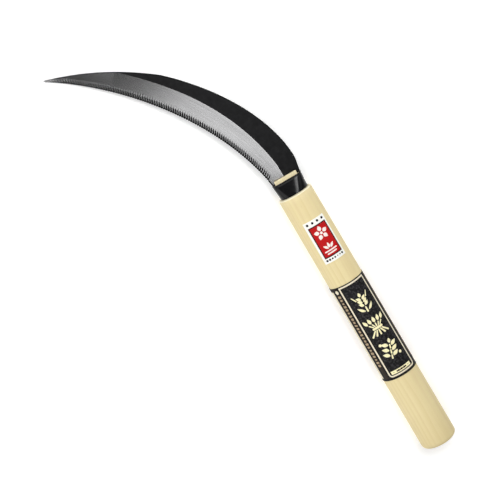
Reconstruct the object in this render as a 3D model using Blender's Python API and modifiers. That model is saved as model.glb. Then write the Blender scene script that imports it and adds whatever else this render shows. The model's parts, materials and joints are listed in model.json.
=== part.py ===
"""Saw-toothed harvesting sickle: a curved single-bevel blade in a straight oval wooden handle.

Units are metres. The handle's axis is +Y, from the butt face at the origin towards the blade. The
blade sweeps to -X, its ground bevel faces up, and the whole tool lies on its side as it would on a
bench: turned a little about the handle's axis, so that the butt and the blade's tip carry it.
"""

import math

import bmesh
import bpy
import numpy as np

# Fits
GAP = 0.0003  # air between two pieces that touch
CUT_OVERRUN = 0.004  # how far a cutter reaches past the face it opens

# Handle: an oval that narrows towards the ferrule, then a flattened neck inside the ferrule
HANDLE_LENGTH = 0.2210  # butt face to shoulder
BUTT_WIDTH = 0.0284
BUTT_THICKNESS = 0.0240
SHOULDER_WIDTH = 0.0262
SHOULDER_THICKNESS = 0.0226
BUTT_EDGE_RADIUS = 0.0040
SHOULDER_EDGE_RADIUS = 0.0010
SHOULDER_LEDGE = 0.00215  # wood left showing round the ferrule's foot
NECK_INSET = 0.0011  # the neck's end lies this far inside the ferrule's mouth
OVAL = 2.0  # superellipse exponent of an oval
RING_POINTS = 64
ROUNDING_STEPS = 4

# Ferrule: a steel tube, oval at the shoulder and pressed flat and wide at the mouth
FERRULE_LENGTH = 0.0117
FERRULE_WALL = 0.0009
MOUTH_WIDTH = 0.0235
MOUTH_THICKNESS = 0.0126
MOUTH_SQUARENESS = 3.6  # superellipse exponent at the mouth
MOUTH_FLARE = 1.5  # how late the tube widens: 1 is evenly, more is nearer the mouth
LIP_RADIUS = 0.0004
FERRULE_STATIONS = 6

# Blade: flat back, dark upper face, ground bevel down to the toothed inner edge
BLADE_SWEEP = 0.1116  # the tip's distance from the handle's axis
BLADE_RISE = 0.1455  # the tip's distance from the shoulder line, where the blade leaves the ferrule
BLADE_THICKNESS = 0.0020
TIP_THICKNESS = 0.0011
EDGE_THICKNESS = 0.0003
ROOT_INSET = 0.0004  # how far inside the ferrule's sides the blade's root lies
SPINE_LAND = 0.0004  # least width of the upper face, where the bevel has reached the spine

# Outlines in plan as Bezier points, in shares of the sweep and the rise. The first point of the
# edge and of the spine comes from the ferrule's width.
EDGE_CURVE = ((-0.179, 0.393), (-0.570, 0.779), (-1.0, 0.9945))
SPINE_FLARE = ((0.106, 0.025), (0.1188, 0.060), (0.1174, 0.084))
SPINE_BELLY = ((0.102, 0.328), (-0.119, 0.573), (-0.346, 0.7375))
SPINE_REACH = ((-0.540, 0.857), (-0.759, 0.946), (-0.998, 1.0))
GRIND_ROOT = (-0.007, 0.0)
GRIND_START = (-0.007, 0.078)
GRIND_CURVE = ((-0.060, 0.403), (-0.290, 0.654), (-0.596, 0.868))
CURVE_STEPS = 60

# Teeth: slanting file cuts across the bevel that break through the edge
TOOTH_PITCH = 0.00175
TOOTH_DEPTH = 0.00055
GROOVE_REACH = 0.0036
GROOVE_SLANT = math.radians(33)
VALLEY_THICKNESS = 0.0001
PLAIN_HEEL = 0.0040
PLAIN_STATIONS = 4
CROSSING_TURN = 0.020  # stretch in which the sections turn from the shoulder line to the edge's normal

# Tang, wedge and pin, which hold the blade in the handle
TANG_LENGTH = 0.0620
TANG_ROOT_WIDTH = 0.0130
TANG_END_WIDTH = 0.0080
TANG_THICKNESS = 0.0018
TANG_OVERLAP = 0.0018  # how far the tang's blank reaches into the blade, under the wedge's thick end
WEDGE_LENGTH = 0.0265
WEDGE_THIN_END = 0.0012
WEDGE_PROUD = 0.0024  # how far it stands out of the ferrule
WEDGE_SIDE_ROOM = 0.0020  # between the wedge's sides and the ferrule's, at the mouth
WEDGE_FRONT_ROOM = 0.0017  # between the wedge's front and the ferrule's, at the mouth
WEDGE_CHAMFER = 0.0002
PIN_ROOM = 0.0055  # between the wedge's thin end and the pin
PIN_DIAMETER = 0.0026
PIN_HEAD_DIAMETER = 0.0050
PIN_HEAD_THICKNESS = 0.0010
PIN_RECESS = 0.0005  # head below the handle's surface
PIN_REACH = 0.0050  # point above the handle's axis
PIN_POINT = 0.0020
PIN_SIDES = 24

# Labels: thin printed films on the handle, placed from the shoulder down, and by angle from the top
# towards +X
LABEL_THICKNESS = 0.0002
RED_LABEL_DROP = 0.0212  # shoulder to label
RED_LABEL_LENGTH = 0.0340
RED_LABEL_ANGLES = (-29.5, 46.0)
WRAP_DROP = 0.0193  # red label to wrap
WRAP_LENGTH = 0.0820
WRAP_ANGLES = (-136, 164)
LABEL_STEP = 7.5  # degrees

COLOURS = {  # colour, roughness, metallic
    "bare_wood": ((0.80, 0.68, 0.43, 1), 0.55, 0.0),
    "dark_steel": ((0.035, 0.035, 0.037, 1), 0.45, 0.9),
    "black_ferrule": ((0.010, 0.010, 0.011, 1), 0.25, 0.6),
    "wedge_wood": ((0.76, 0.63, 0.40, 1), 0.65, 0.0),
    "pin_steel": ((0.45, 0.45, 0.46, 1), 0.40, 1.0),
    "red_paper": ((0.55, 0.035, 0.025, 1), 0.50, 0.0),
    "black_film": ((0.030, 0.030, 0.032, 1), 0.40, 0.0),
}


def clear_scene():
    for obj in list(bpy.data.objects):
        bpy.data.objects.remove(obj, do_unlink=True)


def collection(name, rendered=True):
    made = bpy.data.collections.new(name)
    made.hide_render = not rendered
    bpy.context.scene.collection.children.link(made)
    return made


def material(name):
    colour, roughness, metallic = COLOURS[name]
    made = bpy.data.materials.new(name)
    made.use_nodes = True
    shader = made.node_tree.nodes["Principled BSDF"]
    shader.inputs["Base Color"].default_value = colour
    shader.inputs["Roughness"].default_value = roughness
    shader.inputs["Metallic"].default_value = metallic
    made.diffuse_color = colour
    return made


class Bench:
    """Holds the two collections and the empty that turns the tool as it lies."""

    def __init__(self):
        self.parts = collection("hand_sickle")
        self.cutters = collection("hand_sickle_cutters", rendered=False)
        self.lay = bpy.data.objects.new("lay", None)
        self.lay.rotation_euler.y = -lay_angle()
        self.parts.objects.link(self.lay)

    def add(self, name, mesh, finish=None, place=(0, 0, 0)):
        """Adds a piece with its finish, or a cutter when it has none."""
        obj = bpy.data.objects.new(name, mesh)
        obj.parent = self.lay
        obj.location = place
        if finish:
            self.parts.objects.link(obj)
            mesh.materials.append(material(finish))
        else:
            self.cutters.objects.link(obj)
            obj.hide_render = True
            obj.display_type = "WIRE"
        return obj


# Where things lie along the handle, and how big it is there


def handle_width(y):
    return BUTT_WIDTH + (SHOULDER_WIDTH - BUTT_WIDTH) * y / HANDLE_LENGTH


def handle_thickness(y):
    return BUTT_THICKNESS + (SHOULDER_THICKNESS - BUTT_THICKNESS) * y / HANDLE_LENGTH


def mouth():
    """Where the ferrule ends."""
    return HANDLE_LENGTH + GAP + FERRULE_LENGTH


def blade_seat():
    """The shoulder line, where the blade's root stands on the ferrule's lip."""
    return mouth() + GAP


def root_half_width():
    return MOUTH_WIDTH / 2 - ROOT_INSET


def pin_place():
    wedge_thin_end = mouth() + WEDGE_PROUD - WEDGE_LENGTH
    y = wedge_thin_end - PIN_ROOM - PIN_DIAMETER / 2
    return (0, y, -handle_thickness(y) / 2 + PIN_RECESS)


def lay_angle():
    """Turn about the handle's axis that brings the blade's tip down to the level of the butt."""
    back = BLADE_THICKNESS / 2
    a, b = BUTT_WIDTH / 2, BUTT_THICKNESS / 2
    square, linear, constant = BLADE_SWEEP**2 - a**2, 2 * BLADE_SWEEP * back, back**2 - b**2
    tangent = (-linear + math.sqrt(linear**2 - 4 * square * constant)) / (2 * square)
    return math.atan(tangent)


# Shapes that several pieces share


def boolean(target, other, operation):
    modifier = target.modifiers.new(other.name, "BOOLEAN")
    modifier.operation = operation
    modifier.solver = "EXACT"
    modifier.object = other


def finished(shape, name, sharp_degrees=35):
    """The bmesh as a mesh, its normals out and shaded smooth between sharp edges."""
    bmesh.ops.recalc_face_normals(shape, faces=shape.faces)
    mesh = bpy.data.meshes.new(name)
    shape.to_mesh(mesh)
    shape.free()
    mesh.shade_smooth()
    mesh.set_sharp_from_angle(angle=math.radians(sharp_degrees))
    return mesh


def loft(name, rings, closed=False):
    """Skins rings of equal length, with caps at both ends or, when closed, back to the first ring."""
    count = len(rings[0])
    shape = bmesh.new()
    rows = [[shape.verts.new(point) for point in ring] for ring in rings]
    pairs = list(zip(rows, rows[1:]))
    if closed:
        pairs.append((rows[-1], rows[0]))
    for low, high in pairs:
        for i in range(count):
            j = (i + 1) % count
            shape.faces.new((low[i], low[j], high[j], high[i]))
    if not closed:
        shape.faces.new(rows[0])
        shape.faces.new(rows[-1])
    return finished(shape, name)


def oval_ring(y, width, thickness, exponent=OVAL):
    """A superellipse across the handle's axis: exponent 2 is an ellipse, more is squarer."""
    ring = []
    for i in range(RING_POINTS):
        angle = 2 * math.pi * i / RING_POINTS
        across, up = math.sin(angle), math.cos(angle)
        ring.append((
            math.copysign(abs(across) ** (2 / exponent), across) * width / 2,
            y,
            math.copysign(abs(up) ** (2 / exponent), up) * thickness / 2,
        ))
    return ring


def tapered_box(name, first, last):
    """A box between two sections across Y, each given as (y, width, low z, high z)."""
    shape = bmesh.new()
    bmesh.ops.create_cube(shape, size=1)
    for vertex in shape.verts:
        y, width, low, high = last if vertex.co.y > 0 else first
        vertex.co = (
            math.copysign(width / 2, vertex.co.x),
            y,
            high if vertex.co.z > 0 else low,
        )
    return finished(shape, name)


def turned(obj, steps):
    """Turns the object's profile about its Z axis."""
    screw = obj.modifiers.new("turned", "SCREW")
    screw.axis = "Z"
    screw.steps = screw.render_steps = steps
    screw.use_merge_vertices = True
    screw.merge_threshold = 1e-6


# Handle and ferrule


def ferrule_section(y, inset=0.0):
    """The ferrule's outline at y, as (width, thickness, exponent), moved in by inset."""
    share = min(max((y - HANDLE_LENGTH - GAP) / FERRULE_LENGTH, 0), 1)
    foot_width = SHOULDER_WIDTH - 2 * SHOULDER_LEDGE
    foot_thickness = SHOULDER_THICKNESS - 2 * SHOULDER_LEDGE
    width = foot_width + (MOUTH_WIDTH - foot_width) * share**MOUTH_FLARE
    thickness = foot_thickness + (MOUTH_THICKNESS - foot_thickness) * share
    return width - 2 * inset, thickness - 2 * inset, OVAL + (MOUTH_SQUARENESS - OVAL) * share


def build_handle(bench):
    def body_ring(y, inset):
        return oval_ring(y, handle_width(y) - 2 * inset, handle_thickness(y) - 2 * inset)

    turns = [math.pi / 2 * step / ROUNDING_STEPS for step in range(ROUNDING_STEPS + 1)]
    rings = [
        body_ring(BUTT_EDGE_RADIUS * (1 - math.cos(turn)), BUTT_EDGE_RADIUS * (1 - math.sin(turn)))
        for turn in turns
    ]
    rings += [
        body_ring(
            HANDLE_LENGTH - SHOULDER_EDGE_RADIUS * (1 - math.sin(turn)),
            SHOULDER_EDGE_RADIUS * (1 - math.cos(turn)),
        )
        for turn in turns
    ]
    rings += [
        oval_ring(y, *ferrule_section(y, FERRULE_WALL + GAP))
        for y in np.linspace(HANDLE_LENGTH, mouth() - NECK_INSET, FERRULE_STATIONS)
    ]
    handle = bench.add("handle", loft("handle", rings), "bare_wood")
    tang_slot = bench.add("tang_slot", tapered_box("tang_slot", *tang_ends(GAP, CUT_OVERRUN)))
    wedge_slot = bench.add("wedge_slot", tapered_box("wedge_slot", *wedge_ends(GAP, CUT_OVERRUN)))
    pin_hole = bench.add("pin_hole", pin_profile("pin_hole", GAP, CUT_OVERRUN), place=pin_place())
    turned(pin_hole, PIN_SIDES)
    for cutter in (tang_slot, wedge_slot, pin_hole):
        boolean(handle, cutter, "DIFFERENCE")


def build_ferrule(bench):
    foot, top = HANDLE_LENGTH + GAP, mouth()
    walls = np.linspace(foot, top - LIP_RADIUS, FERRULE_STATIONS)
    rings = [oval_ring(y, *ferrule_section(y)) for y in walls]
    rings.append(oval_ring(top, *ferrule_section(top, LIP_RADIUS)))
    rings.append(oval_ring(top, *ferrule_section(top, FERRULE_WALL)))
    rings += [oval_ring(y, *ferrule_section(y, FERRULE_WALL)) for y in walls[::-1]]
    bench.add("ferrule", loft("ferrule", rings, closed=True), "black_ferrule")


# Blade


def bezier(start, points):
    """Points along a cubic Bezier curve from start, as an array of (x, y)."""
    out, back, end = points
    t = np.linspace(0, 1, CURVE_STEPS + 1)[:, None]
    return (1 - t) ** 3 * start + 3 * (1 - t) ** 2 * t * out + 3 * (1 - t) * t**2 * back + t**3 * end


def planned(shares):
    """Outline points from their shares of the sweep and the rise."""
    return np.array(shares) * (BLADE_SWEEP, BLADE_RISE)


def joined(*curves):
    """Curves end to end, without the doubled points."""
    return np.concatenate([curves[0]] + [curve[1:] for curve in curves[1:]])


class BladeOutline:
    """The blade's edge, grind line and spine in plan, and the crossings that join them.

    The shoulder line is y = 0 here. A place along the edge is its distance s from the heel.
    """

    def __init__(self):
        flare = bezier(np.array((root_half_width(), 0)), planned(SPINE_FLARE))
        belly = bezier(flare[-1], planned(SPINE_BELLY))
        reach = bezier(belly[-1], planned(SPINE_REACH))
        grind_start = planned(GRIND_START)
        self.edge = bezier(np.array((-root_half_width(), 0)), planned(EDGE_CURVE))
        self.spine = joined(flare, belly, reach)
        root = np.array([planned(GRIND_ROOT), grind_start])
        self.grind = joined(root, bezier(grind_start, planned(GRIND_CURVE)))
        steps = np.hypot(*np.diff(self.edge, axis=0).T)
        self.along = np.concatenate([[0], np.cumsum(steps)])
        self.length = self.along[-1]
        self.end_width = math.hypot(*(self.spine[-1] - self.edge[-1]))

    def point(self, s):
        return np.array([np.interp(s, self.along, self.edge[:, axis]) for axis in (0, 1)])

    def inward(self, s):
        """Unit direction from the edge to the spine: the shoulder line at the root, then the normal."""
        tangent = self.point(min(s + TOOTH_PITCH, self.length)) - self.point(max(s - TOOTH_PITCH, 0))
        normal = np.array([tangent[1], -tangent[0]]) / math.hypot(*tangent)
        share = min(s / CROSSING_TURN, 1)
        direction = (1 - share) * np.array([1.0, 0.0]) + share * normal
        return direction / math.hypot(*direction)

    def distance(self, s, curve):
        """How far the curve lies from the edge at s, or None where the crossing misses it."""
        start, direction = self.point(s), self.inward(s)
        offset = curve - start
        side = offset[:, 0] * direction[1] - offset[:, 1] * direction[0]
        ahead = offset @ direction
        crossed = np.nonzero((side[:-1] * side[1:] <= 0) & (ahead[1:] > 0))[0]
        if not len(crossed):
            return None
        i = crossed[0]
        share = side[i] / (side[i] - side[i + 1])
        return ahead[i] + (ahead[i + 1] - ahead[i]) * share

    def widths(self, s):
        """Distances from the edge at s to the spine and to the grind line."""
        width = self.distance(s, self.spine) or self.end_width
        ground = self.distance(s, self.grind) or width
        return width, min(ground, width - min(SPINE_LAND, width / 3))


def blade_section(outline, s, valley=False):
    """One section: back and front of the spine, grind line, groove's end, and both sides of the edge.

    The edge's points are at s, and the others are slanted ahead of it towards the tip, as the file
    cuts are. In a valley the edge is cut back by a tooth's depth.
    """
    ahead = min(GROOVE_REACH * math.tan(GROOVE_SLANT), (outline.length - s) / 2)
    inner = s + ahead * min(s / PLAIN_HEEL, 1)
    width, ground = outline.widths(inner)
    reach = min(GROOVE_REACH, ground * 0.7)
    base, direction = outline.point(inner), outline.inward(inner)
    back = -BLADE_THICKNESS / 2
    full = BLADE_THICKNESS + (TIP_THICKNESS - BLADE_THICKNESS) * inner / outline.length
    bevel_height = EDGE_THICKNESS + (full - EDGE_THICKNESS) * reach / ground
    groove_end = base + direction * reach
    edge, edge_height = outline.point(s), EDGE_THICKNESS
    if valley:
        cut = groove_end - edge
        edge = edge + cut / math.hypot(*cut) * min(TOOTH_DEPTH, reach / 3)
        edge_height = VALLEY_THICKNESS
    spine = base + direction * width
    grind = base + direction * ground
    return [
        (*spine, back),
        (*spine, back + full),
        (*grind, back + full),
        (*groove_end, back + bevel_height),
        (*edge, back + edge_height),
        (*edge, back),
    ]


def build_blade(bench):
    outline = BladeOutline()
    heel = np.linspace(0, PLAIN_HEEL, PLAIN_STATIONS, endpoint=False)
    rings = [blade_section(outline, s) for s in heel]
    teeth = int((outline.length - PLAIN_HEEL) / TOOTH_PITCH) - 1
    for tooth in range(teeth):
        crest = PLAIN_HEEL + tooth * TOOTH_PITCH
        rings.append(blade_section(outline, crest))
        rings.append(blade_section(outline, crest + TOOTH_PITCH / 2, valley=True))
    rings.append(blade_section(outline, PLAIN_HEEL + teeth * TOOTH_PITCH))
    rings.append(blade_section(outline, outline.length))
    blade = bench.add("blade", loft("blade", rings), "dark_steel", (0, blade_seat(), 0))
    tang = bench.add("tang_blank", tapered_box("tang_blank", *tang_ends()))
    hole = bench.add("tang_hole", pin_profile("tang_hole", GAP, CUT_OVERRUN), place=pin_place())
    turned(hole, PIN_SIDES)
    boolean(blade, tang, "UNION")
    boolean(blade, hole, "DIFFERENCE")


def tang_ends(clearance=0.0, overrun=0.0):
    """The tang's two end sections, for the tang itself or, with a clearance, for its slot."""
    half = TANG_THICKNESS / 2 + clearance
    grow = 2 * clearance
    return (
        (blade_seat() - TANG_LENGTH - clearance, TANG_END_WIDTH + grow, -half, half),
        (blade_seat() + TANG_OVERLAP + overrun, TANG_ROOT_WIDTH + grow, -half, half),
    )


# What holds the blade


def wedge_ends(clearance=0.0, overrun=0.0):
    """The wedge's two end sections: flat against the blade, thin end inside the handle."""
    width = MOUTH_WIDTH - 2 * (FERRULE_WALL + WEDGE_SIDE_ROOM) + 2 * clearance
    seat = BLADE_THICKNESS / 2 + GAP
    thin_front = seat + WEDGE_THIN_END
    thick_front = MOUTH_THICKNESS / 2 - FERRULE_WALL - WEDGE_FRONT_ROOM
    slope = (thick_front - thin_front) / WEDGE_LENGTH
    thick_y = mouth() + WEDGE_PROUD
    thin_y = thick_y - WEDGE_LENGTH
    return (
        (thin_y - clearance, width, seat - clearance, thin_front + clearance * (1 - slope)),
        (thick_y + overrun, width, seat - clearance, thick_front + clearance + slope * overrun),
    )


def build_wedge(bench):
    wedge = bench.add("wedge", tapered_box("wedge", *wedge_ends()), "wedge_wood")
    bevel = wedge.modifiers.new("edges", "BEVEL")
    bevel.width = WEDGE_CHAMFER
    bevel.segments = 2


def pin_profile(name, clearance=0.0, overrun=0.0):
    """A nail's half profile, point up and head at its origin; a clearance and an overrun make its hole."""
    _, _, z = pin_place()
    top = PIN_REACH - z + clearance
    shank = PIN_DIAMETER / 2 + clearance
    head = PIN_HEAD_DIAMETER / 2 + clearance
    neck = PIN_HEAD_THICKNESS + clearance
    profile = ((0, top), (shank, top - PIN_POINT), (shank, neck), (head, neck), (head, -overrun), (0, -overrun))
    shape = bmesh.new()
    points = [shape.verts.new((x, 0, z)) for x, z in profile]
    for above, below in zip(points, points[1:]):
        shape.edges.new((above, below))
    return finished(shape, name)


def build_pin(bench):
    pin = bench.add("tang_pin", pin_profile("tang_pin"), "pin_steel", pin_place())
    turned(pin, PIN_SIDES)


# Labels


def build_label(bench, name, finish, top, length, angles):
    """A film round part of the handle: an open surface on the oval, thickened outwards."""
    first, last = (math.radians(angle) for angle in angles)
    steps = max(2, round((angles[1] - angles[0]) / LABEL_STEP))
    shape = bmesh.new()
    columns = []
    for angle in np.linspace(first, last, steps + 1):
        columns.append([
            shape.verts.new((
                (handle_width(y) / 2 + GAP) * math.sin(angle),
                y,
                (handle_thickness(y) / 2 + GAP) * math.cos(angle),
            ))
            for y in (top - length, top)
        ])
    for left, right in zip(columns, columns[1:]):
        shape.faces.new((left[0], right[0], right[1], left[1]))
    mesh = bpy.data.meshes.new(name)
    shape.to_mesh(mesh)
    shape.free()
    mesh.shade_smooth()
    label = bench.add(name, mesh, finish)
    film = label.modifiers.new("film", "SOLIDIFY")
    film.thickness = LABEL_THICKNESS
    film.offset = 1


def build_labels(bench):
    red_top = HANDLE_LENGTH - RED_LABEL_DROP
    wrap_top = red_top - RED_LABEL_LENGTH - WRAP_DROP
    build_label(bench, "red_label", "red_paper", red_top, RED_LABEL_LENGTH, RED_LABEL_ANGLES)
    build_label(bench, "wrap_label", "black_film", wrap_top, WRAP_LENGTH, WRAP_ANGLES)


def build_sickle():
    clear_scene()
    bench = Bench()
    build_handle(bench)
    build_ferrule(bench)
    build_blade(bench)
    build_wedge(bench)
    build_pin(bench)
    build_labels(bench)


build_sickle()
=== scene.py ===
"""Finishes a saw-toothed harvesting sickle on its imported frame.

Every piece is built in the tool's own space, in metres: the handle's axis is +Y from the butt, the
blade sweeps to -X and the ground bevel faces +Z. One turn about the handle's axis then lays the
tool down as its frame lies.
"""

from __future__ import annotations

import json
import logging
import math
from dataclasses import dataclass, field
from enum import Enum
from typing import Iterable, Sequence

import bmesh
import bpy
import numpy as np
from mathutils import Matrix, Vector

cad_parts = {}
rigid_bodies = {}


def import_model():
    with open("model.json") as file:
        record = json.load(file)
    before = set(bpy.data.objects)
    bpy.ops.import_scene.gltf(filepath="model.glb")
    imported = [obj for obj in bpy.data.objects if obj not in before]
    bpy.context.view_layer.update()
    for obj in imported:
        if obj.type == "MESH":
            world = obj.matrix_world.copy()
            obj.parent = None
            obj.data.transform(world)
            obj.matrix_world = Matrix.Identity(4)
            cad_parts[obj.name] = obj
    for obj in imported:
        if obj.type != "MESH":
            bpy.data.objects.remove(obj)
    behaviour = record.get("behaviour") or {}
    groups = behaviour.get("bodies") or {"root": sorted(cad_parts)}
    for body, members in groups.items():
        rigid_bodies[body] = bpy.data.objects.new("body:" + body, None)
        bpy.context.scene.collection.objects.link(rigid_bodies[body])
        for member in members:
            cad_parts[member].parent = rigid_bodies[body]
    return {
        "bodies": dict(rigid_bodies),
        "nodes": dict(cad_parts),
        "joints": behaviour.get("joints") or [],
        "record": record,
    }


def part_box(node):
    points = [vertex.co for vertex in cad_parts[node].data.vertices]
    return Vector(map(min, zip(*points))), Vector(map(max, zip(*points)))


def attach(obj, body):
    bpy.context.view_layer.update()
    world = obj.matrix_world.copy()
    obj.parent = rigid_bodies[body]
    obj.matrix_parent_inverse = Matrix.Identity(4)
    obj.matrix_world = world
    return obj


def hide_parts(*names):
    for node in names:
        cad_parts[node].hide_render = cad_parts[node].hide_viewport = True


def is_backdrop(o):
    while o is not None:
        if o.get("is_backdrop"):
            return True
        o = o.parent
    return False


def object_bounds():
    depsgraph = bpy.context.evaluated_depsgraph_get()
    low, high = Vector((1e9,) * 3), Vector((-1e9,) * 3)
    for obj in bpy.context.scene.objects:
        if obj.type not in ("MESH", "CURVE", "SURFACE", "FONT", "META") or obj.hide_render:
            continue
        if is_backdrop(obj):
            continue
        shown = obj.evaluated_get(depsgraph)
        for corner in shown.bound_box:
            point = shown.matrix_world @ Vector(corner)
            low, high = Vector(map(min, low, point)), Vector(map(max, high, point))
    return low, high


LOG = logging.getLogger("sickle")
MM = 0.001
BODY = "root"
AIR = 0.0003  # air the frame leaves between two pieces that touch

INK = 0.03 * MM  # thickness of one printed layer
INK_GAP = 0.005 * MM

Pair = tuple[float, float]
Place = tuple[float, float, float]
Colour = tuple[float, float, float]
Loop = list[Pair]
Mesh = bpy.types.Mesh
Wire = bpy.types.NodeSocket


# Node graphs and finishes


class Graph:
    """A material's node tree, with short calls that add its nodes and join them."""

    def __init__(self, name: str) -> None:
        """Starts a material that has only its shader.

        Args:
            name: The material's name.
        """
        self.material = bpy.data.materials.new(name)
        self.material.use_nodes = True
        self.tree = self.material.node_tree
        self.shader = self.tree.nodes["Principled BSDF"]

    def put(self, socket: Wire, value: object) -> None:
        """Gives a socket a value, or a wire from another node.

        Args:
            socket: The input to fill.
            value: A number, a colour, a vector or another node's output.
        """
        if isinstance(value, bpy.types.NodeSocket):
            self.tree.links.new(value, socket)
        elif isinstance(value, tuple) and len(value) == 3 and socket.type == "RGBA":
            socket.default_value = (*value, 1.0)
        else:
            socket.default_value = value

    def add(self, kind: str, inputs: dict[str | int, object], **settings: object) -> bpy.types.Node:
        """Adds a node.

        Args:
            kind: The node's type.
            inputs: Values or wires, by socket name or number.
            settings: The node's own properties.

        Returns:
            The new node.
        """
        node = self.tree.nodes.new(kind)
        for key, value in settings.items():
            setattr(node, key, value)
        for key, value in inputs.items():
            self.put(node.inputs[key], value)
        return node

    def dress(self, **sockets: object) -> None:
        """Fills the shader's sockets, named with _ for a space.

        Args:
            sockets: Values or wires by socket name.
        """
        for key, value in sockets.items():
            self.put(self.shader.inputs[key.replace("_", " ")], value)

    def place(self) -> Wire:
        """Returns the point's place in the tool's own space."""
        return self.run("place")

    def mark(self, name: str) -> Wire:
        """Returns a number that the mesh carries under this name."""
        return self.add("ShaderNodeAttribute", {}, attribute_name=name).outputs["Fac"]

    def run(self, name: str) -> Wire:
        """Returns a vector that the mesh carries under this name."""
        return self.add("ShaderNodeAttribute", {}, attribute_name=name).outputs["Vector"]

    def stretch(self, vector: Wire, scale: Sequence[float]) -> Wire:
        """Returns the vector scaled by axis, so that a grain can be drawn out one way."""
        node = self.add("ShaderNodeMapping", {"Vector": vector, "Scale": tuple(scale)})
        return node.outputs["Vector"]

    def noise(
        self, vector: Wire, scale: float = 1.0, detail: float = 3.0, rough: float = 0.5
    ) -> Wire:
        """Adds a noise.

        Args:
            vector: Where to read it.
            scale: Cells to the metre, after any stretch.
            detail: Finer layers.
            rough: How strong the finer layers are.

        Returns:
            The noise, from 0 to 1.
        """
        inputs = {"Vector": vector, "Scale": scale, "Detail": detail, "Roughness": rough}
        return self.add("ShaderNodeTexNoise", inputs).outputs["Fac"]

    def math(self, operation: str, *values: object) -> Wire:
        """Returns the result of one sum on up to three values."""
        node = self.add("ShaderNodeMath", dict(enumerate(values)), operation=operation)
        return node.outputs[0]

    def span(self, value: Wire, low: float, high: float, out: Pair = (0, 1)) -> Wire:
        """Maps a range onto another, and holds it there.

        Args:
            value: The number to map.
            low: Where the range starts.
            high: Where it ends.
            out: What the two become.

        Returns:
            The mapped number.
        """
        inputs = {"Value": value, "From Min": low, "From Max": high}
        inputs |= {"To Min": out[0], "To Max": out[1]}
        return self.add("ShaderNodeMapRange", inputs).outputs["Result"]

    def tint(self, share: object, first: object, second: object) -> Wire:
        """Lays one colour over another.

        Args:
            share: How much of the second, from 0 to 1.
            first: The colour below.
            second: The colour above.

        Returns:
            The colour.
        """
        inputs = {0: share, 6: first, 7: second}
        return self.add("ShaderNodeMix", inputs, data_type="RGBA").outputs[2]

    def wash(
        self, colour: object, mask: Wire, low: float, high: float, share: float, over: object
    ) -> Wire:
        """Lays a colour over another where a pattern is strong.

        Args:
            colour: The colour below.
            mask: The pattern.
            low: Where it starts to show.
            high: Where it shows most.
            share: How much shows there.
            over: The colour above.

        Returns:
            The colour.
        """
        return self.tint(self.span(mask, low, high, (0, share)), colour, over)

    def bump(
        self, height: Wire, depth: float, strength: float = 1.0, below: Wire | None = None
    ) -> Wire:
        """Turns a height into a bent normal.

        Args:
            height: The height, from 0 to 1.
            depth: What a height of 1 measures, in metres.
            strength: How much of it shows.
            below: Another bump under this one.

        Returns:
            The normal.
        """
        inputs = {"Height": height, "Distance": depth, "Strength": strength}
        if below is not None:
            inputs["Normal"] = below
        return self.add("ShaderNodeBump", inputs).outputs["Normal"]


@dataclass(frozen=True)
class Finish:
    """What every finish has: its own name, and the record's slot that it stands for."""

    name: str
    slot: str

    def material(self) -> bpy.types.Material:
        """Returns the finished material."""
        raise NotImplementedError


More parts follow.
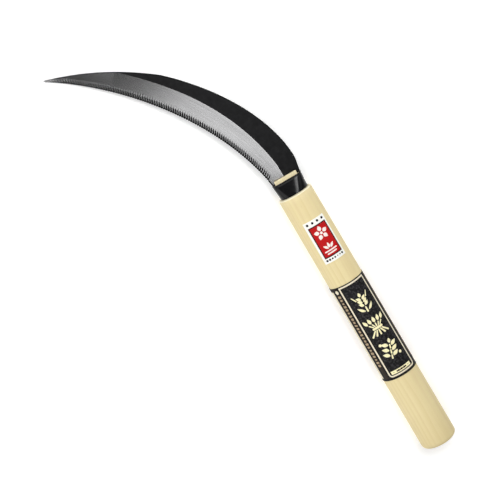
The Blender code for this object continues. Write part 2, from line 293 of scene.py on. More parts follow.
@dataclass(frozen=True)
class PaleWood(Finish):
    """Sanded, unvarnished pale wood with straight grain along the handle."""

    early: Colour = (0.79, 0.68, 0.375)
    late: Colour = (0.69, 0.56, 0.285)
    # The end grain's colour, and also the colour of the painted shade towards the butt.
    end: Colour = (0.66, 0.53, 0.27)
    # The colour of the painted highlight along the shoulder's rounded edge.
    rim: Colour = (0.92, 0.86, 0.66)
    streaks: Colour = (0.70, 0.53, 0.33)
    blotches: Colour = (0.79, 0.64, 0.36)
    pores: Colour = (0.42, 0.29, 0.14)
    ring_spacing: float = 2.4 * MM
    tree_centre: Pair = (0.034, 0.061)
    roughness: float = 0.56
    end_depth: float = 1.6 * MM
    painted_butt_shade_reach: float = 34 * MM  # how far from the butt painted shade darkens the wood a little

    def material(self) -> bpy.types.Material:
        """Returns wood with growth rings, fibres, pores and slightly darker end grain, with a
        painted highlight along the shoulder's rim and painted shade towards the butt.
        """
        g = Graph(self.name)
        place = g.place()
        sway = g.noise(g.stretch(place, (20, 5, 20)), 1.0, 2.0)
        axes = g.add("ShaderNodeSeparateXYZ", {0: place})
        across = g.math("ADD", axes.outputs[0], self.tree_centre[0])
        up = g.math("ADD", axes.outputs[2], self.tree_centre[1])
        squares = g.math("ADD", g.math("MULTIPLY", across, across), g.math("MULTIPLY", up, up))
        radius = g.math("DIVIDE", g.math("SQRT", squares), self.ring_spacing)
        ring = g.math("FRACT", g.math("MULTIPLY_ADD", sway, 2.6, radius))
        late = g.math("MULTIPLY", g.span(ring, 0.35, 0.93), g.span(ring, 1.0, 0.93))
        fibre = g.noise(g.stretch(place, (3600, 26, 3600)), 1.0, 4.0, 0.6)
        streak = g.noise(g.stretch(place, (520, 6, 520)), 1.0, 3.0, 0.55)
        blotch = g.noise(g.stretch(place, (60, 22, 60)), 1.0, 2.0)
        pore = g.span(g.noise(g.stretch(place, (5200, 210, 5200)), 1.0, 1.0), 0.70, 0.78)
        colour = g.tint(g.math("MULTIPLY", late, 0.55), self.early, self.late)
        colour = g.wash(colour, fibre, 0.35, 0.75, 0.35, self.late)
        colour = g.wash(colour, streak, 0.45, 0.72, 0.30, self.streaks)
        colour = g.wash(colour, blotch, 0.40, 0.70, 0.22, self.blotches)
        colour = g.tint(g.math("MULTIPLY", pore, 0.28), colour, self.pores)
        # Painted shade: the wood darkens a little towards the butt.
        colour = g.wash(colour, axes.outputs[1], self.painted_butt_shade_reach, 0.0, 0.5, self.end)
        colour = g.wash(colour, axes.outputs[1], self.end_depth, 0.2 * MM, 0.75, self.end)
        rough = g.math("MULTIPLY_ADD", fibre, 0.16, self.roughness - 0.08)
        height = g.math("ADD", g.math("MULTIPLY", fibre, 0.6), g.math("MULTIPLY", pore, -0.5))
        # Painted highlight: the shoulder's rounded edge is coloured lighter, standing in for the
        # light it catches.
        colour = g.tint(g.math("MULTIPLY", g.mark("rim"), 0.8), colour, self.rim)
        g.dress(Base_Color=colour, Roughness=rough, Specular_IOR_Level=0.32)
        g.dress(Normal=g.bump(height, 0.035 * MM, 0.55, g.bump(late, 0.05 * MM, 0.35)))
        return g.material


@dataclass(frozen=True)
class SawnWood(Finish):
    """Pale wood straight from the saw, with its end grain outside."""

    face: Colour = (0.86, 0.77, 0.51)
    shade: Colour = (0.70, 0.56, 0.32)
    patches: Colour = (0.86, 0.78, 0.54)

    def material(self) -> bpy.types.Material:
        """Returns wood with coarse grain and fine saw marks across it."""
        g = Graph(self.name)
        place = g.place()
        grain = g.noise(g.stretch(place, (1500, 60, 1500)), 1.0, 4.0, 0.65)
        saw = g.noise(g.stretch(place, (40, 2600, 40)), 1.0, 2.0, 0.5)
        patch = g.noise(place, 420.0, 2.0)
        colour = g.tint(g.span(grain, 0.38, 0.74, (0, 0.6)), self.face, self.shade)
        colour = g.wash(colour, patch, 0.42, 0.62, 0.30, self.patches)
        g.dress(Base_Color=colour, Roughness=g.span(grain, 0.2, 0.8, (0.6, 0.78)))
        g.dress(Specular_IOR_Level=0.25)
        g.dress(Normal=g.bump(g.math("ADD", grain, saw), 0.06 * MM, 0.6))
        return g.material


@dataclass(frozen=True)
class BlackEnamel(Finish):
    """Glossy black stove enamel over steel, rubbed a little at the lip."""

    colour: Colour = (0.006, 0.006, 0.0068)
    steel: Colour = (0.16, 0.155, 0.15)
    scratches: Colour = (0.09, 0.09, 0.09)
    roughness: float = 0.16

    def material(self) -> bpy.types.Material:
        """Returns enamel with faint orange peel, hairline scratches and a rubbed lip."""
        g = Graph(self.name)
        place = g.place()
        peel = g.noise(place, 750.0, 2.0, 0.5)
        haze = g.noise(place, 260.0, 3.0, 0.6)
        hair = g.noise(g.stretch(place, (300, 7000, 300)), 1.0, 2.0, 0.6)
        chips = g.noise(place, 2600.0, 3.0, 0.7)
        scratch = g.span(hair, 0.70, 0.76)
        wear_and_painted_edge_shade = g.math("MULTIPLY", g.mark("lip"), g.span(chips, 0.52, 0.60))
        colour = g.tint(g.math("MULTIPLY", wear_and_painted_edge_shade, 0.8), self.colour, self.steel)
        colour = g.tint(g.math("MULTIPLY", scratch, 0.12), colour, self.scratches)
        rough = g.span(haze, 0.3, 0.75, (self.roughness - 0.03, self.roughness + 0.09))
        rough = g.math("MULTIPLY_ADD", wear_and_painted_edge_shade, 0.25, rough)
        g.dress(Base_Color=colour, Roughness=rough, Metallic=g.math("MULTIPLY", wear_and_painted_edge_shade, 0.7))
        g.dress(Specular_IOR_Level=0.22)
        g.dress(Normal=g.bump(peel, 0.02 * MM, 0.25, g.bump(scratch, 0.01 * MM, 0.4)))
        return g.material


@dataclass(frozen=True)
class ForgedSteel(Finish):
    """Dark forge scale with a bright ground bevel, and file cuts coloured dark towards their
    floors, with painted shade along the toothed edge.
    """

    scale: Colour = (0.0075, 0.0075, 0.0080)
    scale_light: Colour = (0.0130, 0.0130, 0.0137)
    ground: Colour = (0.50, 0.50, 0.505)
    # The colour of the painted shade that darkens the bevel towards the tip.
    painted_tip_shade: Colour = (0.15, 0.15, 0.152)
    # The colour of the file cuts' floors and of the painted shade along the toothed edge.
    cut: Colour = (0.0010, 0.0010, 0.0011)
    # The colour of the painted shade along the spine's edge.
    rim: Colour = (0.006, 0.006, 0.006)
    brushed: Colour = (0.36, 0.36, 0.365)
    lines: Colour = (0.62, 0.62, 0.62)
    smears: Colour = (0.40, 0.395, 0.39)
    # The colour of the painted highlights on the grind line and on the crests near the tip.
    painted_highlight: Colour = (0.9, 0.9, 0.9)
    anisotropy: float = 0.45

    def material(self) -> bpy.types.Material:
        """Returns steel that its mesh marks as ground, filed or bare scale, with painted shade
        along the spine's rim and towards the tip, and painted highlights at the grind line and on
        crests near the tip.
        """
        g = Graph(self.name)
        place, run = g.place(), g.run("run")
        ground, cut, rim, painted_shine = g.mark("ground"), g.mark("cut"), g.mark("rim"), g.mark("painted_shine")
        brushed = g.noise(g.stretch(run, (34, 5200, 1)), 1.0, 4.0, 0.65)
        coarse = g.noise(g.stretch(run, (9, 900, 1)), 1.0, 2.0, 0.5)
        smear = g.noise(g.stretch(run, (45, 160, 1)), 1.0, 2.0, 0.5)
        mottle = g.noise(place, 300.0, 4.0, 0.6)
        pits = g.span(g.noise(place, 2300.0, 2.0, 0.5), 0.62, 0.74)
        scale = g.tint(g.span(mottle, 0.35, 0.72), self.scale, self.scale_light)
        # Painted shade: the scale darkens along the spine's edge.
        scale = g.tint(g.math("MULTIPLY", rim, 0.85), scale, self.rim)
        bright = g.wash(self.ground, brushed, 0.35, 0.70, 0.40, self.brushed)
        bright = g.wash(bright, coarse, 0.40, 0.68, 0.24, self.lines)
        bright = g.wash(bright, smear, 0.45, 0.75, 0.16, self.smears)
        # Painted shade: the bevel darkens towards the tip, standing in for its dimmer reflection.
        bright = g.tint(g.math("MULTIPLY", g.mark("tip"), 0.85), bright, self.painted_tip_shade)
        # Painted highlight: a light line along the grind line, and glints on the crests near the
        # tip.
        bright = g.tint(g.math("MULTIPLY", painted_shine, 0.6), bright, self.painted_highlight)
        colour = g.tint(ground, scale, bright)
        # Darkens the file cuts' floors and lays painted shade along the toothed edge.
        dark = g.span(cut, 0.05, 0.55)
        colour = g.tint(dark, colour, self.cut)
        filed = g.math("MULTIPLY", ground, g.math("SUBTRACT", 1.0, dark))
        rough_scale = g.span(mottle, 0.3, 0.75, (0.42, 0.58))
        rough_ground = g.span(brushed, 0.3, 0.7, (0.17, 0.24))
        rough = g.tint(ground, rough_scale, rough_ground)
        rough = g.math("MULTIPLY_ADD", cut, 0.35, rough)
        height = g.math("MULTIPLY", brushed, ground)
        pitted = g.math("ADD", mottle, g.math("MULTIPLY", pits, -0.4))
        pitted = g.math("MULTIPLY", pitted, g.math("SUBTRACT", 1.0, ground))
        g.dress(Base_Color=colour, Metallic=filed, Roughness=rough, Specular_IOR_Level=0.09)
        g.dress(Anisotropic=self.anisotropy, Anisotropic_Rotation=0.25)
        tangent = g.add("ShaderNodeTangent", {}, direction_type="UV_MAP", uv_map="along")
        g.dress(Tangent=tangent.outputs[0])
        g.dress(Normal=g.bump(height, 0.006 * MM, 0.5, g.bump(pitted, 0.05 * MM, 0.5)))
        return g.material


@dataclass(frozen=True)
class DrawnSteel(Finish):
    """Plain drawn wire, dulled and spotted."""

    colour: Colour = (0.46, 0.455, 0.45)
    rust: Colour = (0.20, 0.10, 0.05)

    def material(self) -> bpy.types.Material:
        """Returns wire with a hammered head and specks of rust."""
        g = Graph(self.name)
        place = g.place()
        spots = g.span(g.noise(place, 1800.0, 3.0, 0.6), 0.58, 0.70)
        dents = g.noise(place, 900.0, 2.0)
        g.dress(Base_Color=g.tint(g.math("MULTIPLY", spots, 0.55), self.colour, self.rust))
        g.dress(Metallic=g.span(spots, 0, 1, (1.0, 0.4)))
        g.dress(Roughness=g.span(dents, 0.3, 0.7, (0.3, 0.5)))
        g.dress(Normal=g.bump(dents, 0.08 * MM, 0.6))
        return g.material


@dataclass(frozen=True)
class Print(Finish):
    """One colour of printing or film on a label, with the paper's fibre under it."""

    colour: Colour
    shade: Colour
    roughness: float = 0.5
    metallic: float = 0.0
    mottle_scale: float = 900.0
    relief: float = 0.01 * MM

    def material(self) -> bpy.types.Material:
        """Returns ink or film that varies a little over the paper's fibre."""
        g = Graph(self.name)
        place = g.place()
        fibre = g.noise(place, 4200.0, 2.0, 0.6)
        mottle = g.noise(place, self.mottle_scale, 3.0, 0.6)
        g.dress(Base_Color=g.tint(g.span(mottle, 0.36, 0.68), self.colour, self.shade))
        rough = g.span(fibre, 0.25, 0.75, (self.roughness - 0.06, self.roughness + 0.08))
        g.dress(Roughness=rough, Metallic=self.metallic, Specular_IOR_Level=0.22)
        g.dress(Normal=g.bump(g.math("ADD", fibre, mottle), self.relief, 0.5))
        return g.material


@dataclass(frozen=True)
class Embossed(Finish):
    """Charcoal film pressed with a small pebble pattern."""

    low: Colour = (0.002, 0.002, 0.0022)
    # The colour of the painted highlight on the pebble tops.
    high: Colour = (0.050, 0.046, 0.050)
    drifts: Colour = (0.022, 0.019, 0.027)
    cells: float = 620.0

    def material(self) -> bpy.types.Material:
        """Returns film whose pebbles stand out, with a painted highlight on their tops."""
        g = Graph(self.name)
        place = g.place()
        inputs = {"Vector": place, "Scale": self.cells, "Randomness": 0.85}
        distance = g.add("ShaderNodeTexVoronoi", inputs).outputs["Distance"]
        pebble = g.span(distance, 0.62, 0.12)
        drift = g.noise(place, 190.0, 3.0, 0.6)
        # Painted highlight: the raised pebble tops are coloured lighter.
        painted_pebble_highlight = g.math("MULTIPLY", pebble, g.span(drift, 0.3, 0.7, (0.45, 1.0)))
        colour = g.tint(painted_pebble_highlight, self.low, self.high)
        colour = g.wash(colour, g.noise(place, 240.0, 2.0), 0.5, 0.66, 0.35, self.drifts)
        rough = g.span(pebble, 0, 1, (0.65, 0.5))
        g.dress(Base_Color=colour, Roughness=rough, Specular_IOR_Level=0.2)
        g.dress(Normal=g.bump(pebble, 0.09 * MM, 0.7))
        return g.material


@dataclass(frozen=True)
class FloorCard(Finish):
    """The pale card that the tool lies on."""

    colour: Colour = (0.90, 0.90, 0.90)
    specks: Colour = (0.885, 0.885, 0.885)
    glow: float = 0.3  # a light table's, so that shadows stay pale

    def material(self) -> bpy.types.Material:
        """Returns matt card with a trace of tooth."""
        g = Graph(self.name)
        tooth = g.noise(g.place(), 700.0, 3.0)
        g.dress(Base_Color=g.tint(g.span(tooth, 0.3, 0.7), self.colour, self.specks))
        g.dress(Roughness=0.9, Specular_IOR_Level=0.1, Normal=g.bump(tooth, 0.02 * MM, 0.1))
        g.dress(Emission_Color=(1.0, 1.0, 1.0), Emission_Strength=self.glow)
        return g.material


# The bench: what turns meshes into finished pieces that ride on the frame


@dataclass
class Bench:
    """Lays each piece down as the frame lies, dresses it and joins it to its body."""

    turn: float
    made: list[str] = field(default_factory=list)

    @classmethod
    def from_record(cls, record: dict) -> Bench:
        """Reads how far the tool is turned from the mount on the blade's flat back.

        Args:
            record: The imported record.

        Returns:
            The bench.
        """
        axis = next(mount["axis"] for mount in record["mounts"] if mount["name"] == "blade_back")
        return cls(turn=math.atan2(axis[0], -axis[2]))

    def finish(
        self, name: str, mesh: Mesh, coat: Finish, stands_for: Sequence[str] = ()
    ) -> bpy.types.Object:
        """Makes a piece from a mesh in the tool's space.

        Args:
            name: The piece's name.
            mesh: Its mesh.
            coat: Its finish.
            stands_for: The frame's nodes that it replaces.

        Returns:
            The piece, riding on the frame.
        """
        carry(mesh, "place", points(mesh))
        mesh.transform(Matrix.Rotation(-self.turn, 4, "Y"))
        piece = bpy.data.objects.new(name, mesh)
        bpy.context.scene.collection.objects.link(piece)
        mesh.materials.clear()
        mesh.materials.append(coat.material())
        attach(piece, BODY)
        if stands_for:
            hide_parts(*stands_for)
        self.made.append(name)
        LOG.info("%s: %d faces", name, len(mesh.polygons))
        return piece


def smooth(mesh: Mesh, sharp_degrees: float = 32.0) -> Mesh:
    """Shades a mesh smooth except across its sharp edges.

    Args:
        mesh: The mesh.
        sharp_degrees: The angle from which an edge is sharp.

    Returns:
        The same mesh.
    """
    mesh.shade_smooth()
    mesh.set_sharp_from_angle(angle=math.radians(sharp_degrees))
    return mesh


def skin(name: str, rings: np.ndarray, capped: bool = True) -> Mesh:
    """Skins a stack of closed rings.

    Args:
        name: The mesh's name.
        rings: Points as (ring, place on the ring, xyz).
        capped: True for a cap at both ends, False to join the last ring to the first.

    Returns:
        One closed mesh, its normals outwards.
    """
    count, around = rings.shape[:2]
    index = np.arange(count * around).reshape(count, around)
    low = index if not capped else index[:-1]
    high = np.roll(index, -1, axis=0) if not capped else index[1:]
    quads = np.stack([low, np.roll(low, -1, 1), np.roll(high, -1, 1), high], -1).reshape(-1, 4)
    faces = quads.tolist()
    if capped:
        faces += [index[0].tolist(), index[-1].tolist()]
    mesh = bpy.data.meshes.new(name)
    mesh.from_pydata(rings.reshape(-1, 3).tolist(), [], faces)
    shape = bmesh.new()
    shape.from_mesh(mesh)
    bmesh.ops.recalc_face_normals(shape, faces=shape.faces)
    shape.to_mesh(mesh)
    shape.free()
    return smooth(mesh)


def carry(mesh: Mesh, name: str, values: np.ndarray) -> None:
    """Stores a number or a vector at each of the mesh's points.

    Args:
        mesh: The mesh.
        name: What the finish calls it.
        values: One number, or three, to the point.
    """
    kind, slot = ("FLOAT", "value") if values.ndim == 1 else ("FLOAT_VECTOR", "vector")
    layer = mesh.attributes.new(name, kind, "POINT")
    layer.data.foreach_set(slot, np.ascontiguousarray(values, np.float32).reshape(-1))


def points(mesh: Mesh) -> np.ndarray:
    """Returns the mesh's points as (point, xyz)."""
    flat = np.empty(len(mesh.vertices) * 3, np.float32)
    mesh.vertices.foreach_get("co", flat)
    return flat.reshape(-1, 3)


def box_between(name: str, first: Sequence[float], last: Sequence[float]) -> Mesh:
    """Makes a tapered box along Y.

    Args:
        name: The mesh's name.
        first: (y, width, low z, high z) of the end with the lower y.
        last: The same of the other end.

    Returns:
        The box.
    """
    rings = []
    for y, width, low, high in (first, last):
        half = width / 2
        rings.append([(-half, y, low), (half, y, low), (half, y, high), (-half, y, high)])
    return skin(name, np.array(rings))


class Join(Enum):
    """What other meshes do to a mesh."""

    CUT = "DIFFERENCE"
    ADD = "UNION"


def cut_or_join(mesh: Mesh, others: Iterable[Mesh], join: Join) -> Mesh:
    """Cuts other closed meshes from a mesh, or joins them to it.

    Args:
        mesh: The mesh to work on.
        others: The cutters, or what is joined.
        join: What they do.

    Returns:
        The new mesh, which keeps what the first one carried.
    """
    target = bpy.data.objects.new("work", mesh)
    bpy.context.scene.collection.objects.link(target)
    helpers = []
    for other in others:
        helper = bpy.data.objects.new("helper", other)
        bpy.context.scene.collection.objects.link(helper)
        modifier = target.modifiers.new("boolean", "BOOLEAN")
        modifier.operation, modifier.solver, modifier.object = join.value, "EXACT", helper
        helpers.append(helper)
    bpy.context.view_layer.update()
    graph = bpy.context.evaluated_depsgraph_get()
    result = bpy.data.meshes.new_from_object(target.evaluated_get(graph), depsgraph=graph)
    result.name = mesh.name
    for obj in (target, *helpers):
        bpy.data.objects.remove(obj, do_unlink=True)
    return smooth(result)


def oval(y: float, width: float, thickness: float, exponent: float, around: int) -> np.ndarray:
    """Points on a superellipse across the handle's axis.

    Args:
        y: Its place along the axis.
        width: Its size along X.
        thickness: Its size along Z.
        exponent: 2 for an ellipse, more for a squarer shape.
        around: How many points.

    Returns:
        The points as (place, xyz).
    """
    angle = np.linspace(0, 2 * math.pi, around, endpoint=False)
    across, up = np.sin(angle), np.cos(angle)
    return np.stack([
        np.sign(across) * np.abs(across) ** (2 / exponent) * width / 2,
        np.full(around, y),
        np.sign(up) * np.abs(up) ** (2 / exponent) * thickness / 2,
    ], -1)


# Handle, ferrule, wedge and pin


@dataclass
class HandleShape:
    """The handle's oval, which narrows evenly from the butt to the shoulder."""

    length: float
    butt: Pair = (28.4 * MM, 24.0 * MM)
    shoulder: Pair = (26.2 * MM, 22.6 * MM)

    def size(self, y: float) -> Pair:
        """Returns the width and the thickness at y."""
        share = y / self.length
        return tuple(a + (b - a) * share for a, b in zip(self.butt, self.shoulder))

    def surface(self, degrees: float, y: float, lift: float) -> Place:
        """Returns the point at this angle from the top towards +X, lifted off the wood."""
        width, thickness = self.size(y)
        angle = math.radians(degrees)
        return (
            (width / 2 + lift) * math.sin(angle),
            y,
            (thickness / 2 + lift) * math.cos(angle),
        )

    def degrees(self, middle: float, along: float) -> float:
        """Returns the angle that lies this far round the surface from a middle angle."""
        width, thickness = self.size(self.length / 2)
        angle = math.radians(middle)
        rate = math.hypot(width / 2 * math.cos(angle), thickness / 2 * math.sin(angle))
        return middle + math.degrees(along / rate)


@dataclass
class FerruleShape:
    """A tube that goes from an oval foot to a flat, wide mouth."""

    foot: float
    mouth: float
    foot_size: Pair = (21.9 * MM, 18.3 * MM)
    mouth_size: Pair = (23.5 * MM, 12.6 * MM)
    wall: float = 0.9 * MM
    flare: float = 1.5
    foot_exponent: float = 2.0
    mouth_exponent: float = 3.6

    def ring(self, y: float, inset: float, around: int) -> np.ndarray:
        """Returns the tube's outline at y, moved in by inset."""
        share = min(max((y - self.foot) / (self.mouth - self.foot), 0), 1)
        width = self.foot_size[0] + (self.mouth_size[0] - self.foot_size[0]) * share**self.flare
        thickness = self.foot_size[1] + (self.mouth_size[1] - self.foot_size[1]) * share
        exponent = self.foot_exponent + (self.mouth_exponent - self.foot_exponent) * share
        return oval(y, width - 2 * inset, thickness - 2 * inset, exponent, around)


@dataclass
class Handle:
    """The wooden handle with its neck, the slots for tang and wedge, and the pin's hole."""

    shape: HandleShape
    ferrule: FerruleShape
    slots: list[Mesh]
    skin_depth: float = 0.02 * MM  # keeps the finer oval inside the frame's
    butt_round: float = 4.0 * MM
    shoulder_round: float = 1.0 * MM
    neck_inset: float = 1.1 * MM
    around: int = 144
    coat: PaleWood = PaleWood("pale_sanded_wood", "bare_wood")

    def rings(self) -> np.ndarray:
        """Returns the outline from the butt to the neck's end."""
        rounding = [(1 - math.cos(t), 1 - math.sin(t)) for t in np.linspace(0, math.pi / 2, 11)]
        length, butt, shoulder = self.shape.length, self.butt_round, self.shoulder_round
        stations = [(butt * c, butt * s) for c, s in rounding]
        stations += [(y, 0.0) for y in np.linspace(butt, length - shoulder, 46)[1:-1]]
        stations += [(length - shoulder * s, shoulder * c) for c, s in rounding]
        rings = []
        for y, inset in stations:
            width, thickness = (side - 2 * (inset + self.skin_depth) for side in self.shape.size(y))
            rings.append(oval(y, width, thickness, 2.0, self.around))
        for y in np.linspace(length, self.ferrule.mouth - self.neck_inset, 8):
            rings.append(self.ferrule.ring(y, self.ferrule.wall + AIR, self.around))
        return np.array(rings)

    def build(self) -> Mesh:
        """Returns the handle with its holes cut."""
        mesh = skin("handle_wood", self.rings())
        # Marks where the painted highlight lies, along the shoulder's rounded edge.
        along = points(mesh)[:, 1] - (self.shape.length - self.shoulder_round * 0.3)
        carry(mesh, "rim", np.clip(1.3 - np.abs(along) / (self.shoulder_round * 0.6), 0, 1))
        return cut_or_join(mesh, self.slots, Join.CUT)

    def dress(self, bench: Bench) -> None:
        """Finishes the handle."""
        bench.finish("handle_wood", self.build(), self.coat, ["handle"])


@dataclass
class Ferrule:
    """The black ferrule with its round lip."""

    shape: FerruleShape
    around: int = 160
    foot_round: float = 0.2 * MM
    bead: float = 1.7 * MM  # how far below the mouth the groove under the lip starts
    bead_depth: float = 0.16 * MM
    coat: BlackEnamel = BlackEnamel("black_stove_enamel", "black_ferrule")

    def profile(self) -> list[Place]:
        """Returns (y, inset, wear) from the foot, over the lip and back inside."""
        wall, shape = self.shape.wall, self.shape
        half = wall / 2
        points = [(shape.foot, self.foot_round, 0.0), (shape.foot + self.foot_round, 0.0, 0.0)]
        climb = np.linspace(shape.foot + self.foot_round, shape.mouth - self.bead, 14)[1:]
        points += [(y, 0.0, 0.0) for y in climb]
        for turn in np.linspace(0, 2 * math.pi, 9)[1:-1]:
            y = shape.mouth - self.bead + turn / (2 * math.pi) * (self.bead - half)
            points.append((y, self.bead_depth * (1 - math.cos(turn)) / 2, 0.0))
        for turn in np.linspace(0, math.pi, 13):
            out = half * math.sin(turn)
            points.append((shape.mouth - half + out, half - half * math.cos(turn), math.sin(turn)))
        points += [(y, wall, 0.0) for y in climb[::-1]]
        points.append((shape.foot, wall, 0.0))
        return points

    def build(self) -> Mesh:
        """Returns the ferrule, which carries where its lip is."""
        profile = self.profile()
        rings = np.array([self.shape.ring(y, inset, self.around) for y, inset, _ in profile])
        mesh = skin("ferrule_enamelled", rings, capped=False)
        carry(mesh, "lip", np.repeat([wear for *_, wear in profile], self.around))
        return mesh

    def dress(self, bench: Bench) -> None:
        """Finishes the ferrule."""
        bench.finish("ferrule_enamelled", self.build(), self.coat, ["ferrule"])


@dataclass
class Wedge:
    """The wooden wedge that jams the blade in the ferrule."""

    mouth: float
    half_blade: float
    width: float = 17.7 * MM
    length: float = 26.5 * MM
    proud: float = 2.4 * MM
    thin_end: float = 1.2 * MM
    thick_front: float = 3.7 * MM
    corner: float = 0.28 * MM
    coat: SawnWood = SawnWood("sawn_wedge_wood", "wedge_wood")

    def ends(self, clearance: float = 0.0, overrun: float = 0.0) -> tuple[tuple, tuple]:
        """Gives the wedge's end sections, or its slot's.

        Args:
            clearance: Air round the wedge.
            overrun: How far the slot runs on past the thick end.

        Returns:
            Both sections, for box_between.
        """
        seat = self.half_blade + AIR
        thin_front = seat + self.thin_end
        thick_y = self.mouth + self.proud
        thin_y = thick_y - self.length
        slope = (self.thick_front - thin_front) / self.length
        width, low = self.width + 2 * clearance, seat - clearance
        return (
            (thin_y - clearance, width, low, thin_front + clearance * (1 - slope)),
            (thick_y + overrun, width, low, self.thick_front + clearance + slope * overrun),
        )

    def build(self) -> Mesh:
        """Returns the wedge with its edges eased."""
        first, last = self.ends()
        shape = bmesh.new()
        shape.from_mesh(box_between("wedge_block", first, last))
        edges = list(shape.edges)
        bmesh.ops.bevel(
            shape, geom=edges, offset=self.corner, segments=4, profile=0.6, affect="EDGES"
        )
        for share in np.linspace(0, 1, 9)[1:-1]:
            y = first[0] + (last[0] - first[0]) * share
            everything = shape.verts[:] + shape.edges[:] + shape.faces[:]
            bmesh.ops.bisect_plane(
                shape, geom=everything, plane_co=(0, y, 0), plane_no=(0, 1, 0)
            )
        mesh = bpy.data.meshes.new("wedge_sawn")
        shape.to_mesh(mesh)
        shape.free()
        return smooth(mesh)

    def dress(self, bench: Bench) -> None:
        """Finishes the wedge."""
        bench.finish("wedge_sawn", self.build(), self.coat, ["wedge"])


@dataclass
class TangPin:
    """The nail through the handle's back and the tang."""

    place: Place
    diameter: float = 2.6 * MM
    head_diameter: float = 5.0 * MM
    head: float = 1.0 * MM
    reach: float = 5.0 * MM
    point: float = 2.0 * MM
    dome: float = 0.396 * MM
    axis_radius: float = 0.02 * MM  # where its ends close
    around: int = 48
    coat: DrawnSteel = DrawnSteel("drawn_steel_wire", "pin_steel")

    def turned(self, name: str, clearance: float = 0.0, overrun: float = 0.0) -> Mesh:
        """Turns the nail, or its hole.

        Args:
            name: The mesh's name.
            clearance: Air round the nail.
            overrun: How far its hole opens past the head.

        Returns:
            The mesh.
        """
        x0, y0, z0 = self.place
        tip = self.reach - z0 + clearance
        shank, head = self.diameter / 2 + clearance, self.head_diameter / 2 + clearance
        neck = self.head + clearance
        profile = [(self.axis_radius, tip), (shank, tip - self.point), (shank, neck)]
        profile += [(head * 0.94, neck)]
        if overrun:
            profile += [(head, neck), (head, -overrun), (self.axis_radius, -overrun)]
        else:
            profile += [(head, neck * 0.9), (head, self.dome)]
            for t in np.linspace(0.35, 1.55, 6):
                profile.append((head * math.cos(t), self.dome * (1 - math.sin(t))))
        angle = np.linspace(0, 2 * math.pi, self.around, endpoint=False)
        rings = []
        for r, z in profile:
            height = np.full(self.around, z0 + z)
            rings.append(np.stack([x0 + r * np.cos(angle), y0 + r * np.sin(angle), height], -1))
        return skin(name, np.array(rings))

    def dress(self, bench: Bench) -> None:
        """Finishes the pin."""
        bench.finish("tang_pin_wire", self.turned("tang_pin_wire"), self.coat, ["tang_pin"])


# Blade


@dataclass
class BladeOutline:
    """The blade in plan: its edge, grind line and spine, from the shoulder line at y = 0."""

    sweep: float = 111.6 * MM
    rise: float = 145.48 * MM
    root_half_width: float = 11.35 * MM
    spine_land: float = 0.4 * MM
    turn_in: float = 20 * MM  # where its cross sections stand square to the edge
    tangent_reach: float = 1.75 * MM
    steps: int = 90
    edge_shares: tuple = ((-0.179, 0.393), (-0.570, 0.779), (-1.0, 0.9945))
    flare_shares: tuple = ((0.106, 0.025), (0.1188, 0.060), (0.1174, 0.084))
    belly_shares: tuple = ((0.102, 0.328), (-0.119, 0.573), (-0.346, 0.7375))
    reach_shares: tuple = ((-0.540, 0.857), (-0.759, 0.946), (-0.998, 1.0))
    grind_shares: tuple = ((-0.060, 0.403), (-0.290, 0.654), (-0.596, 0.868))
    grind_root: tuple = (-0.007, 0.0)
    grind_start: tuple = (-0.007, 0.078)

    def __post_init__(self) -> None:
        """Draws the three lines and measures the edge."""
        size = np.array((self.sweep, self.rise))
        flare = self.curve(np.array((self.root_half_width, 0.0)), self.flare_shares)
        belly = self.curve(flare[-1], self.belly_shares)
        reach = self.curve(belly[-1], self.reach_shares)
        start = np.array(self.grind_start) * size
        self.edge = self.curve(np.array((-self.root_half_width, 0.0)), self.edge_shares)
        self.spine = np.concatenate([flare, belly[1:], reach[1:]])
        root = np.array(self.grind_root) * size
        self.grind = np.concatenate([[root], self.curve(start, self.grind_shares)])
        self.along = np.concatenate([[0], np.cumsum(np.hypot(*np.diff(self.edge, axis=0).T))])
        self.length = float(self.along[-1])
        self.end_width = math.hypot(*(self.spine[-1] - self.edge[-1]))

    def curve(self, start: np.ndarray, shares: tuple) -> np.ndarray:
        """Returns points on the Bezier curve from start through shares of the blade's size."""
        out, back, end = np.array(shares) * (self.sweep, self.rise)
        t = np.linspace(0, 1, self.steps + 1)[:, None]
        u = 1 - t
        return u**3 * start + 3 * u**2 * t * out + 3 * u * t**2 * back + t**3 * end

    def point(self, s: float) -> np.ndarray:
        """Returns the edge's point at this distance from the heel."""
        return np.array([np.interp(s, self.along, self.edge[:, axis]) for axis in (0, 1)])

    def inward(self, s: float) -> np.ndarray:
        """Returns the unit direction from the edge towards the spine."""
        reach = self.tangent_reach
        tangent = self.point(min(s + reach, self.length)) - self.point(max(s - reach, 0))
        normal = np.array([tangent[1], -tangent[0]]) / math.hypot(*tangent)
        share = min(s / self.turn_in, 1)
        direction = (1 - share) * np.array([1.0, 0.0]) + share * normal
        return direction / math.hypot(*direction)

    def distance(self, s: float, line: np.ndarray) -> float | None:
        """Returns how far a line lies from the edge at s, or None where it isn't met."""
        start, direction = self.point(s), self.inward(s)
        offset = line - start
        side = offset[:, 0] * direction[1] - offset[:, 1] * direction[0]
        ahead = offset @ direction
        met = np.nonzero((side[:-1] * side[1:] <= 0) & (ahead[1:] > 0))[0]
        if not len(met):
            return None
        i = met[0]
        share = side[i] / (side[i] - side[i + 1])
        return float(ahead[i] + (ahead[i + 1] - ahead[i]) * share)

    def widths(self, s: float) -> Pair:
        """Returns the distances from the edge at s to the spine and to the grind line."""
        width = self.distance(s, self.spine) or self.end_width
        ground = self.distance(s, self.grind) or width
        return width, min(ground, width - min(self.spine_land, width / 3))


